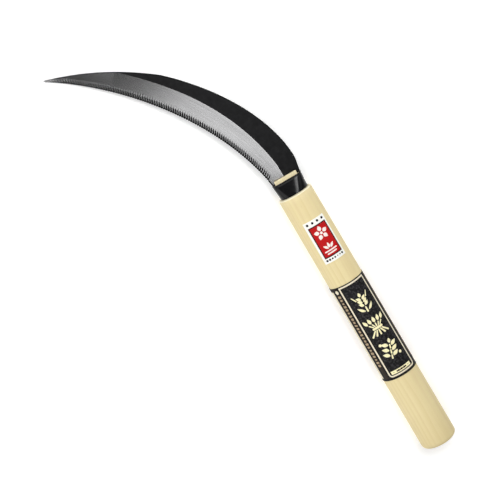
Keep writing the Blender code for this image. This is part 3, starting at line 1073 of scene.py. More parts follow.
@dataclass
class Blade:
    """The forged blade: scale on its face, a ground bevel, and file-cut teeth along its edge."""

    outline: BladeOutline
    seat: float
    tang: Mesh
    pin_hole: Mesh
    thickness: float = 2.0 * MM
    tip_thickness: float = 1.1 * MM
    edge_thickness: float = 0.3 * MM
    valley_thickness: float = 0.1 * MM
    pitch: float = 1.75 * MM
    tooth_depth: float = 0.55 * MM
    groove_reach: float = 3.9 * MM
    groove_depth: float = 0.42 * MM
    slant: float = math.radians(33)
    plain_heel: float = 4.0 * MM
    # Width of the spine's edge, whose scale is coloured as painted shade.
    rim: float = 0.8 * MM
    chamfer: float = 0.28 * MM
    across_cut: tuple = (-1.0, -0.8, -0.55, -0.28, 0.0, 0.28, 0.55, 0.8, 1.0)
    cut_rows: tuple = (0.0, 0.1, 0.22, 0.36, 0.52, 0.68, 0.84, 1.0)
    cut_widths: Pair = (0.43, 0.20)  # half a cut at the edge and at its end, in pitches
    painted_grind_line: float = 0.35 * MM  # the painted highlight along the line where the bevel meets the scale
    painted_grind_line_fade: Pair = (2.0, 3.3)
    painted_crest_glints_from: float = 0.80  # painted glints on the crests from this share of the edge to the tip
    painted_tip_shade_span: Pair = (0.78, 0.15)  # painted shade on the bevel: where it starts, and over how much of the edge
    back_shares: tuple = (0.03, 0.25, 0.5, 0.75, 0.93, 1.0)
    coat: ForgedSteel = ForgedSteel("forged_ground_steel", "dark_steel")

    def columns(self) -> list[tuple[float, float | None]]:
        """Returns (distance along the edge, place across a cut or None for plain steel)."""
        columns = [(s, None) for s in np.linspace(0, self.plain_heel, 6)]
        teeth = int((self.outline.length - self.plain_heel) / self.pitch) - 1
        for tooth in range(teeth):
            middle = self.plain_heel + (tooth + 0.5) * self.pitch
            columns += [(middle, place) for place in self.across_cut]
            columns += [(middle + self.pitch / 2, None)]
        return columns + [(self.outline.length, None)]

    def stations(self, middle: float, place: float | None) -> list[float]:
        """Returns where a column stands along the edge, row by row of the cut."""
        if place is None:
            return [middle] * len(self.cut_rows)
        first, last = self.cut_widths
        return [middle + place * (first + (last - first) * q) * self.pitch for q in self.cut_rows]

    def cut_shape(self, place: float | None, q: float) -> Pair:
        """Shapes one file cut.

        Args:
            place: Place across the cut, 0 at its floor and 1 at its walls' tops.
            q: Place along it, 0 at the edge and 1 where it runs out.

        Returns:
            Its depth as a share, and how dark it is: darker towards its floor, with painted shade
                near the edge.
        """
        # Painted shade: the band nearest the toothed edge is coloured dark, crests as well.
        wear_and_painted_edge_shade = min(1.0, max(0.0, 1.35 - 3.4 * q))
        if place is None or abs(place) == 1:
            return 0.0, wear_and_painted_edge_shade
        depth = 1 - abs(place)
        dark = min(1.0, depth * 5) * min(1.0, (1 - q) * 5)
        return depth * (1 - q), max(dark, wear_and_painted_edge_shade)

    def section(self, middle: float, place: float | None) -> list[tuple[float, ...]]:
        """Lays out one column of points round the blade.

        Args:
            middle: Distance along the edge from the heel to the tooth's middle.
            place: Place across the tooth's cut.

        Returns:
            Rows of (x, y, z, along, across, ground, cut, rim, painted_shine).
        """
        line, back = self.outline, -self.thickness / 2
        stations = self.stations(middle, place)
        s = stations[-1]
        ahead = min(self.groove_reach * math.tan(self.slant), (line.length - s) / 2)
        inner = s + ahead * min(s / self.plain_heel, 1)
        width, ground = line.widths(inner)
        reach = min(self.groove_reach, ground * 0.8)
        base, direction = line.point(inner), line.inward(inner)
        full = self.thickness + (self.tip_thickness - self.thickness) * inner / line.length
        slant = base + direction * reach - line.point(s)
        notch = self.cut_shape(place, 0.0)[0] * min(self.tooth_depth, reach / 3)
        rows: list[tuple[float, ...]] = []
        for q, station in zip(self.cut_rows, stations):
            depth, dark = self.cut_shape(place, q)
            height = self.edge_thickness + (full - self.edge_thickness) * q * reach / ground
            height -= depth * min(height - self.valley_thickness, self.groove_depth)
            x, y = line.point(station) + slant * (q + (1 - q) * notch / math.hypot(*slant))
            # Painted glints: plain crests near the tip carry the painted highlight.
            crest = float(place is None and inner > line.length * self.painted_crest_glints_from)
            along = s + (inner - s) * q
            rows.append((x, y, back + height, along, q * reach, 1.0, dark, 0.0, crest))
        edge = np.array(rows[0][:2])
        painted_grind_line = min(self.painted_grind_line, (ground - reach) * 0.2)
        fade = min(max(self.painted_grind_line_fade[0] - self.painted_grind_line_fade[1] * inner / line.length, 0), 1)
        for d in [*np.linspace(reach, ground - painted_grind_line, 8)[1:], ground - painted_grind_line * 0.5, ground]:
            height = self.edge_thickness + (full - self.edge_thickness) * d / ground
            # Painted highlight along the grind line, fading towards the tip.
            painted_shine = fade if d > ground - painted_grind_line * 0.9 else 0.0
            rows.append((*(base + direction * d), back + height, inner, d, 1.0, 0.0, 0.0, painted_shine))
        face = width - ground
        chamfer = min(self.chamfer, face * 0.35)
        rim = min(self.rim, face * 0.6)
        flat = np.linspace(ground + face * 0.2, width - rim, 6)
        for d in (ground + min(0.12 * MM, face * 0.1), *flat):
            rows.append((*(base + direction * d), back + full, inner, d, 0.0, 0.0, 0.0, 0.0))
        depth = min(chamfer, full * 0.25)
        spine = [(rim * 0.9, full), (chamfer, full), (chamfer * 0.3, full - depth * 0.4)]
        spine += [(0, full - depth), (0, depth), (chamfer * 0.3, depth * 0.4), (chamfer, 0)]
        # The spine rows carry the painted shade's mark.
        for short, height in spine:
            d = width - short
            rows.append((*(base + direction * d), back + height, inner, d, 0.0, 0.0, 1.0, 0.0))
        inside = base + direction * (width - chamfer)
        for share in self.back_shares:
            x, y = inside + (edge - inside) * share
            along = inner + (s - inner) * share
            rows.append((x, y, back, along, width * (1 - share), 0.0, 0.0, 0.0, 0.0))
        return rows

    def build(self) -> Mesh:
        """Returns the blade with its tang, which carries its zones and its run along the edge."""
        table = np.array([self.section(middle, place) for middle, place in self.columns()])
        table[:, :, 1] += self.seat
        mesh = skin("blade_forged", table[:, :, :3])
        flat = table.reshape(-1, table.shape[2])
        carry(mesh, "run", np.stack([flat[:, 3], flat[:, 4], np.zeros(len(flat))], -1))
        for column, name in enumerate(("ground", "cut", "rim", "painted_shine"), start=5):
            carry(mesh, name, flat[:, column])
        layer = mesh.uv_layers.new(name="along")
        corner = np.empty(len(mesh.loops), np.int32)
        mesh.loops.foreach_get("vertex_index", corner)
        layer.data.foreach_set("uv", (flat[corner][:, 3:5] * 5).astype(np.float32).reshape(-1))
        # Marks the painted shade that darkens the bevel towards the tip.
        tip, over = self.painted_tip_shade_span
        carry(mesh, "tip", np.clip((flat[:, 3] / self.outline.length - tip) / over, 0, 1))
        LOG.info("blade: %d sections of %d points", *table.shape[:2])
        joined = cut_or_join(mesh, [self.tang], Join.ADD)
        return cut_or_join(joined, [self.pin_hole], Join.CUT)

    def dress(self, bench: Bench) -> None:
        """Finishes the blade."""
        bench.finish("blade_forged", self.build(), self.coat, ["blade"])


# Labels


class Stencil:
    """Flat shapes that are laid round the handle as thin printed sheets."""

    def __init__(self, shape: HandleShape, lift: float, sheet: float = 0.03 * MM) -> None:
        """Starts an empty sheet.

        Args:
            shape: The handle that it is laid on.
            lift: How far its underside stands off the wood.
            sheet: Its thickness.
        """
        self.shape, self.lift, self.sheet = shape, lift, sheet
        self.flat = bmesh.new()

    def area(self, outer: Loop, hole: Loop | None = None) -> None:
        """Adds one filled shape.

        Args:
            outer: Its outline as (degrees, y).
            hole: A hole in it, with as many points as the outline.
        """
        points = [self.flat.verts.new((u, y / MM, 0)) for u, y in outer]
        if hole is None:
            self.flat.faces.new(points)
            return
        inner = [self.flat.verts.new((u, y / MM, 0)) for u, y in hole]
        for i in range(len(points)):
            j = (i + 1) % len(points)
            self.flat.faces.new((points[i], points[j], inner[j], inner[i]))

    def rectangle(self, u: Pair, y: Pair) -> None:
        """Adds a rectangle between two angles and two places along the handle."""
        self.area([(u[0], y[0]), (u[1], y[0]), (u[1], y[1]), (u[0], y[1])])

    def drawing(self, middle: Pair, outline: Loop, turn: float = 0.0) -> None:
        """Adds a shape that is drawn in metres about a middle point.

        Args:
            middle: Its (degrees, y).
            outline: Its outline, as (across, along) from the middle.
            turn: Turns it anticlockwise, in degrees.
        """
        c, s = math.cos(math.radians(turn)), math.sin(math.radians(turn))
        turned = [(x * c - y * s, x * s + y * c) for x, y in outline]
        self.area([(self.shape.degrees(middle[0], x), middle[1] + y) for x, y in turned])

    def mesh(self, name: str, step: float = 3.0) -> Mesh:
        """Lays the shapes round the handle and gives them their thickness.

        Args:
            name: The mesh's name.
            step: The widest strip, in degrees, so that the sheet follows the curve.

        Returns:
            The mesh, in which every shape is closed.
        """
        flat = self.flat
        bmesh.ops.triangulate(flat, faces=[face for face in flat.faces if len(face.verts) > 4])
        low, high = (pick(v.co.x for v in flat.verts) for pick in (min, max))
        for u in np.arange(math.ceil(low / step) * step, high, step):
            everything = flat.verts[:] + flat.edges[:] + flat.faces[:]
            bmesh.ops.bisect_plane(
                flat, geom=everything, dist=1e-4, plane_co=(u, 0, 0), plane_no=(1, 0, 0)
            )
        for face in flat.faces:
            if face.normal.z < 0:
                face.normal_flip()
        tops = {v: (v.co.x, v.co.y * MM) for v in flat.verts}
        copy = bmesh.ops.duplicate(flat, geom=flat.verts[:] + flat.edges[:] + flat.faces[:])
        under = {v: copy["vert_map"][v] for v in tops}
        for face in [item for item in copy["geom"] if isinstance(item, bmesh.types.BMFace)]:
            face.normal_flip()
        for edge in [e for e in flat.edges if len(e.link_faces) == 1 and e.verts[0] in tops]:
            a, b = edge.verts
            flat.faces.new((a, b, under[b], under[a]))
        for v, (u, y) in tops.items():
            v.co = self.shape.surface(u, y, self.lift + self.sheet)
            under[v].co = self.shape.surface(u, y, self.lift)
        bmesh.ops.recalc_face_normals(flat, faces=flat.faces)
        mesh = bpy.data.meshes.new(name)
        flat.to_mesh(mesh)
        flat.free()
        return smooth(mesh, 40.0)


def leaf(length: float, width: float, bend: float = 0.0, points: int = 9) -> Loop:
    """Draws a pointed leaf that starts at the origin and grows along +y.

    Args:
        length: Its length.
        width: Its greatest width.
        bend: How far its tip leans to the side.
        points: Points to a side.

    Returns:
        The outline.
    """
    shares = np.linspace(0, 1, points)
    spine = [(bend * t * t, length * t) for t in shares]
    half = [width / 2 * math.sin(math.pi * t**0.85) for t in shares]
    right = [(x + h, y) for (x, y), h in zip(spine, half)]
    left = [(x - h, y) for (x, y), h in zip(spine, half)][1:-1]
    return right + left[::-1]


def disc(radius: float, squash: float = 1.0, points: int = 20) -> Loop:
    """Returns the outline of a round dot, or of an oval one."""
    turns = np.linspace(0, 2 * math.pi, points, endpoint=False)
    return [(radius * math.cos(t), radius * squash * math.sin(t)) for t in turns]


def placed(outline: Loop, at: Pair, turn: float = 0.0) -> Loop:
    """Returns an outline turned anticlockwise about its origin and moved to a place."""
    c, s = math.cos(math.radians(turn)), math.sin(math.radians(turn))
    return [(at[0] + x * c - y * s, at[1] + x * s + y * c) for x, y in outline]


def bar(start: Pair, end: Pair, first: float, last: float) -> Loop:
    """Draws a tapered stroke with round ends.

    Args:
        start: Where it starts.
        end: Where it ends.
        first: Its width at the start.
        last: Its width at the end.

    Returns:
        The outline.
    """
    direction = math.atan2(end[1] - start[1], end[0] - start[0])
    outline = []
    for centre, width, turn in ((end, last, direction), (start, first, direction + math.pi)):
        for t in turn + np.linspace(-math.pi / 2, math.pi / 2, 6):
            x, y = width / 2 * math.cos(t), width / 2 * math.sin(t)
            outline.append((centre[0] + x, centre[1] + y))
    return outline


class Motif(Enum):
    """The plant drawings that fill the labels."""

    EAR = "ear of grain"
    SHEAF = "tied sheaf"
    SPRIG = "leafy sprig"
    BLOSSOM = "blossom"
    POND = "leaves over water"

    def outlines(self, size: float) -> list[Loop]:
        """Draws the motif.

        Args:
            size: Its height.

        Returns:
            Outlines that don't touch one another, about the motif's middle.
        """
        drawing = {
            Motif.EAR: draw_ear,
            Motif.SHEAF: draw_sheaf,
            Motif.SPRIG: draw_sprig,
            Motif.BLOSSOM: draw_blossom,
            Motif.POND: draw_pond,
        }[self]()
        return [[(x * size, y * size) for x, y in loop] for loop in drawing]


def draw_ear() -> list[Loop]:
    """Returns an ear of grain: a short stem, paired grains, awns and two broad leaves."""
    loops = [bar((0.0, -0.50), (0.0, -0.27), 0.085, 0.07), placed(leaf(0.24, 0.15), (0.0, 0.27))]
    for pair in range(3):
        y = -0.19 + pair * 0.155
        for side in (-1, 1):
            loops.append(placed(leaf(0.27, 0.15, 0.03 * side), (0.035 * side, y), -42 * side))
    for side in (-1, 1):
        loops.append(bar((0.27 * side, 0.20), (0.40 * side, 0.42), 0.065, 0.045))
        loops.append(placed(leaf(0.42, 0.13, -0.08 * side), (0.085 * side, -0.46), -58 * side))
    return loops


def draw_sheaf() -> list[Loop]:
    """Returns a sheaf: five leaning stalks with heads, and a tie round them."""
    loops = [bar((-0.21, -0.11), (0.21, -0.11), 0.12, 0.12)]
    for place in range(-2, 3):
        lean = place * 0.17
        loops.append(bar((lean * 0.55, -0.01), (lean * 0.95, 0.13), 0.06, 0.06))
        loops.append(placed(leaf(0.32, 0.16), (lean * 1.08, 0.175), -place * 14))
        loops.append(bar((lean * 0.58, -0.22), (lean * 1.25, -0.47), 0.065, 0.085))
    return loops


def draw_sprig() -> list[Loop]:
    """Returns a sprig: a slanting stem in pieces, broad leaves and two berries."""
    loops = [placed(leaf(0.25, 0.16), (0.11, 0.26), -12)]
    loops += [placed(disc(0.075), (-0.34, 0.36)), placed(disc(0.075), (0.36, -0.40))]
    for step in range(3):
        x, y = -0.12 + step * 0.075, -0.48 + step * 0.25
        loops.append(bar((x, y), (x + 0.04, y + 0.16), 0.075, 0.065))
        loops.append(placed(leaf(0.36, 0.19, 0.03), (x + 0.095, y + 0.10), -60))
        loops.append(placed(leaf(0.36, 0.19, -0.03), (x - 0.04, y + 0.15), 52))
    return loops


def draw_blossom() -> list[Loop]:
    """Returns a five-petalled blossom with its heart."""
    loops = [disc(0.10)]
    for petal in range(5):
        turn = petal * 72.0
        start = (-0.14 * math.sin(math.radians(turn)), 0.14 * math.cos(math.radians(turn)))
        loops.append(placed(leaf(0.40, 0.30), start, turn))
    return loops


def draw_pond() -> list[Loop]:
    """Returns three leaves over two lines of water."""
    loops = [
        placed(leaf(0.46, 0.20, 0.05), (0.09, 0.02), -38),
        placed(leaf(0.46, 0.20, -0.05), (-0.09, 0.02), 38),
        placed(leaf(0.44, 0.19), (0.0, 0.05)),
    ]
    for row, half in enumerate((0.46, 0.34)):
        y = -0.14 - row * 0.20
        loops.append(bar((-half, y), (half, y + 0.02), 0.10, 0.11))
    return loops


@dataclass
class Film:
    """The sheet a label is printed on."""

    shape: HandleShape
    angles: Pair
    span: Pair
    lift: float = 0.02 * MM
    sheet: float = 0.2195 * MM

    def build(self, name: str) -> Mesh:
        """Returns the bare sheet."""
        stencil = Stencil(self.shape, self.lift, self.sheet)
        stencil.rectangle(self.angles, self.span)
        return stencil.mesh(name, 2.5)

    def ink(self, layer: int = 0) -> Stencil:
        """Returns a stencil on top of the sheet, or of so many layers of ink on it."""
        under = self.lift + self.sheet + INK_GAP + layer * (INK + INK_GAP)
        return Stencil(self.shape, under, INK)


def rounded(u: Pair, y: Pair, corner: Pair, rate: float) -> Loop:
    """Draws a rectangle with round corners.

    Args:
        u: Its two angles.
        y: Its two places along the handle.
        corner: The radius at the lower y and at the upper y.
        rate: Metres to the degree round the handle.

    Returns:
        The outline, with six points to a corner.
    """
    outline = []
    corners = (
        (u[1], y[0], corner[0], -1, 1, -90),
        (u[1], y[1], corner[1], -1, -1, 0),
        (u[0], y[1], corner[1], 1, -1, 90),
        (u[0], y[0], corner[0], 1, 1, 180),
    )
    for cu, cy, radius, du, dy, start in corners:
        for turn in np.linspace(start, start + 90, 6):
            x = math.cos(math.radians(turn)) * radius
            z = math.sin(math.radians(turn)) * radius
            outline.append((cu + (du * radius + x) / rate, cy + dy * radius + z))
    return outline


@dataclass
class WrapLabel:
    """The black label round the handle: a framed panel with gilt drawings, and side strips."""

    film: Film
    rate: float = 0.231 * MM  # metres to the degree near the top of the handle
    frame_angles: Pair = (-34.4, 61.0)
    frame_line: float = 1.15 * MM
    frame_top: float = 0.8 * MM  # black left above the frame
    frame_foot: float = 1.9 * MM
    motif_size: float = 15.4 * MM
    motifs: tuple = ((Motif.EAR, 128.3), (Motif.SHEAF, 107.9), (Motif.SPRIG, 87.4))
    motif_angle: float = 12.5
    bar_angles: Pair = (-23.5, 45.8)
    bar_span: Pair = (68.35 * MM, 71.1 * MM)
    dashes: Pair = (-14.5, 36.5)
    lozenges: tuple = tuple(11.5 + step * 4.9 for step in range(-3, 4))
    lozenge_sizes: Pair = (1.0 * MM, 0.75 * MM)
    strip_angles: Pair = (-54.5, -40.5)
    strip_foot: float = 66.2 * MM
    marks_angle: float = -47.4
    marks: tuple = (78.2, 139.2, 2.75)  # first, end and step, in millimetres along the handle
    oval_place: Pair = (-46.9, 142.8 * MM)
    oval_radius: float = 1.35 * MM
    cream_column: Pair = (-84.0, -64.0)
    cream_patch: tuple = ((79.5, 97.0), (65.6 * MM, 70.2 * MM))
    columns: tuple = ((79.5, 97.0, 71.4), (-128.0, -88.5, 66.8), (101.0, 156.0, 66.8))
    black: Print = Print(
        "label_black_film", "black_film", (0.004, 0.0032, 0.0028), (0.008, 0.0068, 0.006), 0.6
    )
    panel: Embossed = Embossed("label_charcoal_emboss", "black_film")
    cream: Print = Print(
        "label_cream_ink", "black_film", (0.83, 0.76, 0.60), (0.76, 0.68, 0.50), 0.5
    )
    gilt: Print = Print(
        "label_gilt_ink", "black_film", (0.93, 0.88, 0.58), (0.87, 0.79, 0.44), 0.5
    )
    brown: Print = Print(
        "label_brown_ink", "black_film", (0.014, 0.0075, 0.004), (0.030, 0.016, 0.008), 0.5
    )
    beige: Print = Print(
        "label_beige_ink", "black_film", (0.50, 0.38, 0.24), (0.30, 0.20, 0.11), 0.5, 0.0, 1700.0
    )

    def frame(self) -> Mesh:
        """Returns the cream frame."""
        low, high = self.film.span[0] + self.frame_foot, self.film.span[1] - self.frame_top
        line = self.frame_line
        grow = line / self.rate
        outer = rounded(self.frame_angles, (low, high), (2.6 * MM, 0.2 * MM), self.rate)
        inner_angles = (self.frame_angles[0] + grow, self.frame_angles[1] - grow)
        inner = rounded(inner_angles, (low + line, high - line), (1.6 * MM, 0.4 * MM), self.rate)
        stencil = self.film.ink()
        stencil.area(outer, inner)
        return stencil.mesh("wrap_frame")

    def centre_panel(self) -> Mesh:
        """Returns the charcoal panel inside the frame."""
        margin = (self.frame_line + 0.9 * MM) / self.rate
        u = (self.frame_angles[0] + margin, self.frame_angles[1] - margin)
        y = (72.3 * MM, self.film.span[1] - self.frame_top - self.frame_line - 0.9 * MM)
        stencil = self.film.ink()
        stencil.area(rounded(u, y, (0.3 * MM, 0.3 * MM), self.rate))
        return stencil.mesh("wrap_panel")

    def drawings(self) -> Mesh:
        """Returns the three gilt motifs."""
        stencil = self.film.ink(1)
        for motif, y in self.motifs:
            for outline in motif.outlines(self.motif_size):
                stencil.drawing((self.motif_angle, y * MM), outline)
        return stencil.mesh("wrap_motifs")

    def foot_bar(self) -> Mesh:
        """Returns the cream bar under the panel."""
        stencil = self.film.ink()
        corner = (0.3 * MM, 0.15 * MM)
        stencil.area(rounded(self.bar_angles, self.bar_span, corner, self.rate))
        return stencil.mesh("wrap_foot_bar")

    def bar_marks(self) -> Mesh:
        """Returns a row of small lozenges between two dashes on the bar."""
        stencil = self.film.ink(1)
        middle, half, line = 69.7 * MM, 0.8 * MM, 0.18 * MM
        for u in self.dashes:
            stencil.drawing((u, middle), bar((-half, 0), (half, 0), line, line))
        for number, u in enumerate(self.lozenges, start=1):
            stencil.drawing((u, middle), disc(self.lozenge_sizes[number % 2], 1.0, 4))
        return stencil.mesh("wrap_bar_marks")

    def side_strip(self) -> Mesh:
        """Returns the brown strip beside the frame."""
        stencil = self.film.ink()
        stencil.rectangle(self.strip_angles, (self.strip_foot, self.film.span[1] - 1.2 * MM))
        return stencil.mesh("wrap_side_strip")

    def side_marks(self) -> Mesh:
        """Returns the beige blocks in the side strip."""
        stencil = self.film.ink(1)
        for number, y in enumerate(np.arange(*self.marks)):
            wide = 2.15 + 0.45 * math.sin(number * 2.1)
            tall = 1.65 + 0.35 * math.cos(number * 1.7)
            lean = 10 * math.sin(number * 1.3)
            block = rounded_block(wide * MM, tall * MM)
            stencil.drawing((self.marks_angle, y * MM), block, lean)
        return stencil.mesh("wrap_side_marks")

    def cream_parts(self) -> Mesh:
        """Returns the oval at the strip's head and the cream columns towards the back."""
        stencil = self.film.ink(1)
        stencil.drawing(self.oval_place, disc(self.oval_radius, 1.15))
        stencil.rectangle(self.cream_column, (66.8 * MM, self.film.span[1] - 3.0 * MM))
        stencil.rectangle(*self.cream_patch)
        return stencil.mesh("wrap_cream_parts")

    def back_columns(self) -> Mesh:
        """Returns the beige columns at the handle's back."""
        stencil = self.film.ink()
        top = self.film.span[1] - 1.4 * MM
        for left, right, foot in self.columns:
            stencil.rectangle((left, right), (foot * MM, top))
        return stencil.mesh("wrap_back_columns")

    def dress(self, bench: Bench) -> None:
        """Finishes the film and each colour printed on it."""
        bench.finish("wrap_film", self.film.build("wrap_film"), self.black, ["wrap_label"])
        bench.finish("wrap_panel", self.centre_panel(), self.panel)
        bench.finish("wrap_frame", self.frame(), self.cream)
        bench.finish("wrap_motifs", self.drawings(), self.gilt)
        bench.finish("wrap_foot_bar", self.foot_bar(), self.gilt)
        bench.finish("wrap_bar_marks", self.bar_marks(), self.brown)
        bench.finish("wrap_side_strip", self.side_strip(), self.brown)
        bench.finish("wrap_side_marks", self.side_marks(), self.beige)
        bench.finish("wrap_cream_parts", self.cream_parts(), self.cream)
        bench.finish("wrap_back_columns", self.back_columns(), self.beige)


def rounded_block(width: float, height: float) -> Loop:
    """Returns a small rectangle with cut corners, about its middle."""
    w, h, c = width / 2, height / 2, min(width, height) * 0.2
    right = [(w - c, -h), (w, -h + c), (w, h - c), (w - c, h)]
    return right + [(-x, -y) for x, y in right]


@dataclass
class RedLabel:
    """The small white label with its red panel, white drawings and rows of dots."""

    film: Film
    rate: float = 0.228 * MM
    panel_angles: Pair = (-20.8, 41.6)
    panel_span: Pair = (169.6 * MM, 195.2 * MM)
    border: float = 0.85 * MM
    dot_angles: tuple = (-16.7, 0.9, 18.2, 36.4)
    dot_place: float = 197.7 * MM
    dot_slope: float = 0.03 * MM  # from one dot to the next
    dot_radius: float = 0.90 * MM
    small_place: float = 167.9 * MM
    small_start: float = 3.5
    small_step: float = 9.0
    small_sizes: tuple = (0.84, 0.80, 0.74, 0.66, 0.40, 0.52, 0.76)
    motifs: tuple = ((Motif.BLOSSOM, 188.3, 10.2), (Motif.POND, 175.4, 9.8))
    paper: Print = Print(
        "label_white_paper", "red_paper", (0.93, 0.92, 0.88), (0.88, 0.87, 0.82), 0.6
    )
    red: Print = Print(
        "label_red_ink", "red_paper", (0.54, 0.002, 0.003), (0.42, 0.002, 0.004), 0.6
    )
    maroon: Print = Print(
        "label_maroon_ink", "red_paper", (0.012, 0.001, 0.003), (0.035, 0.002, 0.005), 0.6
    )
    white: Print = Print(
        "label_white_ink", "red_paper", (0.92, 0.84, 0.80), (0.86, 0.74, 0.70), 0.5
    )
    black: Print = Print(
        "label_black_ink", "red_paper", (0.002, 0.002, 0.003), (0.005, 0.005, 0.006), 0.6
    )

    def border_frame(self) -> Mesh:
        """Returns the maroon line round the red panel."""
        grow = self.border / self.rate
        inner_u = (self.panel_angles[0] + grow, self.panel_angles[1] - grow)
        inner_y = (self.panel_span[0] + self.border, self.panel_span[1] - self.border)
        stencil = self.film.ink()
        small = (0.15 * MM, 0.15 * MM)
        outer = rounded(self.panel_angles, self.panel_span, small, self.rate)
        stencil.area(outer, rounded(inner_u, inner_y, small, self.rate))
        return stencil.mesh("red_label_border")

    def field_panel(self) -> Mesh:
        """Returns the red panel."""
        inset = self.border + 0.01 * MM
        grow = inset / self.rate
        stencil = self.film.ink()
        u = (self.panel_angles[0] + grow, self.panel_angles[1] - grow)
        y = (self.panel_span[0] + inset, self.panel_span[1] - inset)
        stencil.area(rounded(u, y, (0.1 * MM, 0.1 * MM), self.rate))
        return stencil.mesh("red_label_panel")

    def drawings(self) -> Mesh:
        """Returns the two white motifs."""
        stencil = self.film.ink(1)
        middle = sum(self.panel_angles) / 2
        for motif, y, size in self.motifs:
            for outline in motif.outlines(size * MM):
                stencil.drawing((middle, y * MM), outline)
        return stencil.mesh("red_label_motifs")

    def dots(self) -> Mesh:
        """Returns the four dots above the panel and the small ones under it."""
        stencil = self.film.ink()
        for number, u in enumerate(self.dot_angles):
            y = self.dot_place - self.dot_slope * number
            stencil.drawing((u, y), disc(self.dot_radius, 1.05))
        for number, size in enumerate(self.small_sizes):
            u = self.panel_angles[0] + self.small_start + number * self.small_step
            squash = 1.0 + 0.12 * math.sin(number * 2.2)
            stencil.drawing((u, self.small_place), disc(size * MM, squash, 14))
        return stencil.mesh("red_label_dots")

    def dress(self, bench: Bench) -> None:
        """Finishes the paper and each colour printed on it."""
        paper = self.film.build("red_label_paper")
        bench.finish("red_label_paper", paper, self.paper, ["red_label"])
        bench.finish("red_label_panel", self.field_panel(), self.red)
        bench.finish("red_label_border", self.border_frame(), self.maroon)
        bench.finish("red_label_motifs", self.drawings(), self.white)
        bench.finish("red_label_dots", self.dots(), self.black)


# Studio


@dataclass(frozen=True)
class Softbox:
    """One area light."""

    name: str
    place: Place
    aim: Place
    size: Pair
    watts: float

    def hang(self) -> None:
        """Hangs the light and points it."""
        lamp = bpy.data.lights.new(self.name, "AREA")
        lamp.shape, lamp.size, lamp.size_y, lamp.energy = "RECTANGLE", *self.size, self.watts
        obj = bpy.data.objects.new(self.name, lamp)
        bpy.context.scene.collection.objects.link(obj)
        obj.location = self.place
        sight = Vector(self.aim) - Vector(self.place)
        obj.rotation_euler = sight.to_track_quat("-Z", "Y").to_euler()


@dataclass
class Studio:
    """The floor, the lights and the camera."""

    floor_z: float
    floor_side: float = 9.0
    target: Place = (-48.4 * MM, 201.4 * MM, -0.4 * MM)
    distance: float = 0.8
    tilt: float = math.radians(12.0)
    roll: float = math.radians(31.2)
    lens: float = 80.0
    framing: float = 0.36 * MM
    wall: float = 0.42
    room: Pair = (0.5, 0.05)  # the sine of the walls' height, and the ceiling's glow
    lights: tuple = (
        Softbox("key_left", (-1.8, -0.7, 1.0), (-0.03, 0.18, 0), (2.4, 1.5), 15.5),
        Softbox("fill_right", (1.3, 0.8, 1.1), (-0.03, 0.18, 0), (1.8, 1.4), 5.5),
        Softbox("back_light", (-0.3, 1.5, 1.2), (-0.03, 0.2, 0), (2.0, 1.0), 17.0),
        Softbox("front_light", (-0.35, -0.7, 1.1), (0.0, 0.15, 0), (0.9, 0.7), 5.0),
        Softbox("bevel_light", (-0.215, 0.175, 0.54), (-0.02, 0.27, 0), (0.13, 0.13), 0.08),
        Softbox("streak_light", (0.22, 0.45, 0.72), (0.0, 0.22, 0), (0.24, 0.30), 2.6),
    )

    def lay_floor(self) -> None:
        """Lays the card floor under the tool."""
        shape = bmesh.new()
        bmesh.ops.create_grid(shape, x_segments=8, y_segments=8, size=self.floor_side / 2)
        mesh = bpy.data.meshes.new("floor_card")
        shape.to_mesh(mesh)
        shape.free()
        carry(mesh, "place", points(mesh))
        floor = bpy.data.objects.new("floor_card", mesh)
        floor.location.z = self.floor_z
        mesh.materials.append(FloorCard("floor_card", "").material())
        bpy.context.scene.collection.objects.link(floor)
        floor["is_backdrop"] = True

    def set_camera(self) -> None:
        """Stands the camera over the tool, tilted towards the blade and rolled."""
        back = Vector((0, math.sin(self.tilt), math.cos(self.tilt)))
        level = Vector((1, 0, 0))
        ahead = Vector((0, math.cos(self.tilt), -math.sin(self.tilt)))
        right = level * math.cos(self.roll) - ahead * math.sin(self.roll)
        up = level * math.sin(self.roll) + ahead * math.cos(self.roll)
        data = bpy.data.cameras.new("camera")
        data.lens, data.sensor_width = self.lens, 36.0
        data.clip_start, data.clip_end = 0.01, 50.0
        camera = bpy.data.objects.new("camera", data)
        bpy.context.scene.collection.objects.link(camera)
        place = Vector(self.target) + back * self.distance + (up - right) * self.framing
        turn = Matrix((right, up, back)).transposed().to_4x4()
        camera.matrix_world = Matrix.Translation(place) @ turn
        bpy.context.scene.camera = camera

    def light(self) -> None:
        """Hangs the lights and sets the room's soft fill."""
        for softbox in self.lights:
            softbox.hang()
        world = bpy.data.worlds.new("studio")
        bpy.context.scene.world = world
        world.use_nodes = True
        nodes, links = world.node_tree.nodes, world.node_tree.links
        direction, split = nodes.new("ShaderNodeTexCoord"), nodes.new("ShaderNodeSeparateXYZ")
        height = nodes.new("ShaderNodeMapRange")
        height.interpolation_type = "SMOOTHSTEP"
        wall_top, ceiling = self.room
        limits = {"From Min": 0.0, "From Max": wall_top, "To Min": self.wall, "To Max": ceiling}
        for key, value in limits.items():
            height.inputs[key].default_value = value
        links.new(direction.outputs["Generated"], split.inputs[0])
        links.new(split.outputs["Z"], height.inputs["Value"])
        links.new(height.outputs["Result"], nodes["Background"].inputs["Strength"])
        nodes["Background"].inputs["Color"].default_value = (1, 1, 1, 1)
        bpy.context.scene.view_settings.view_transform = "Standard"

    def build(self) -> None:
        """Builds the whole studio."""
        self.lay_floor()
        self.set_camera()
        self.light()


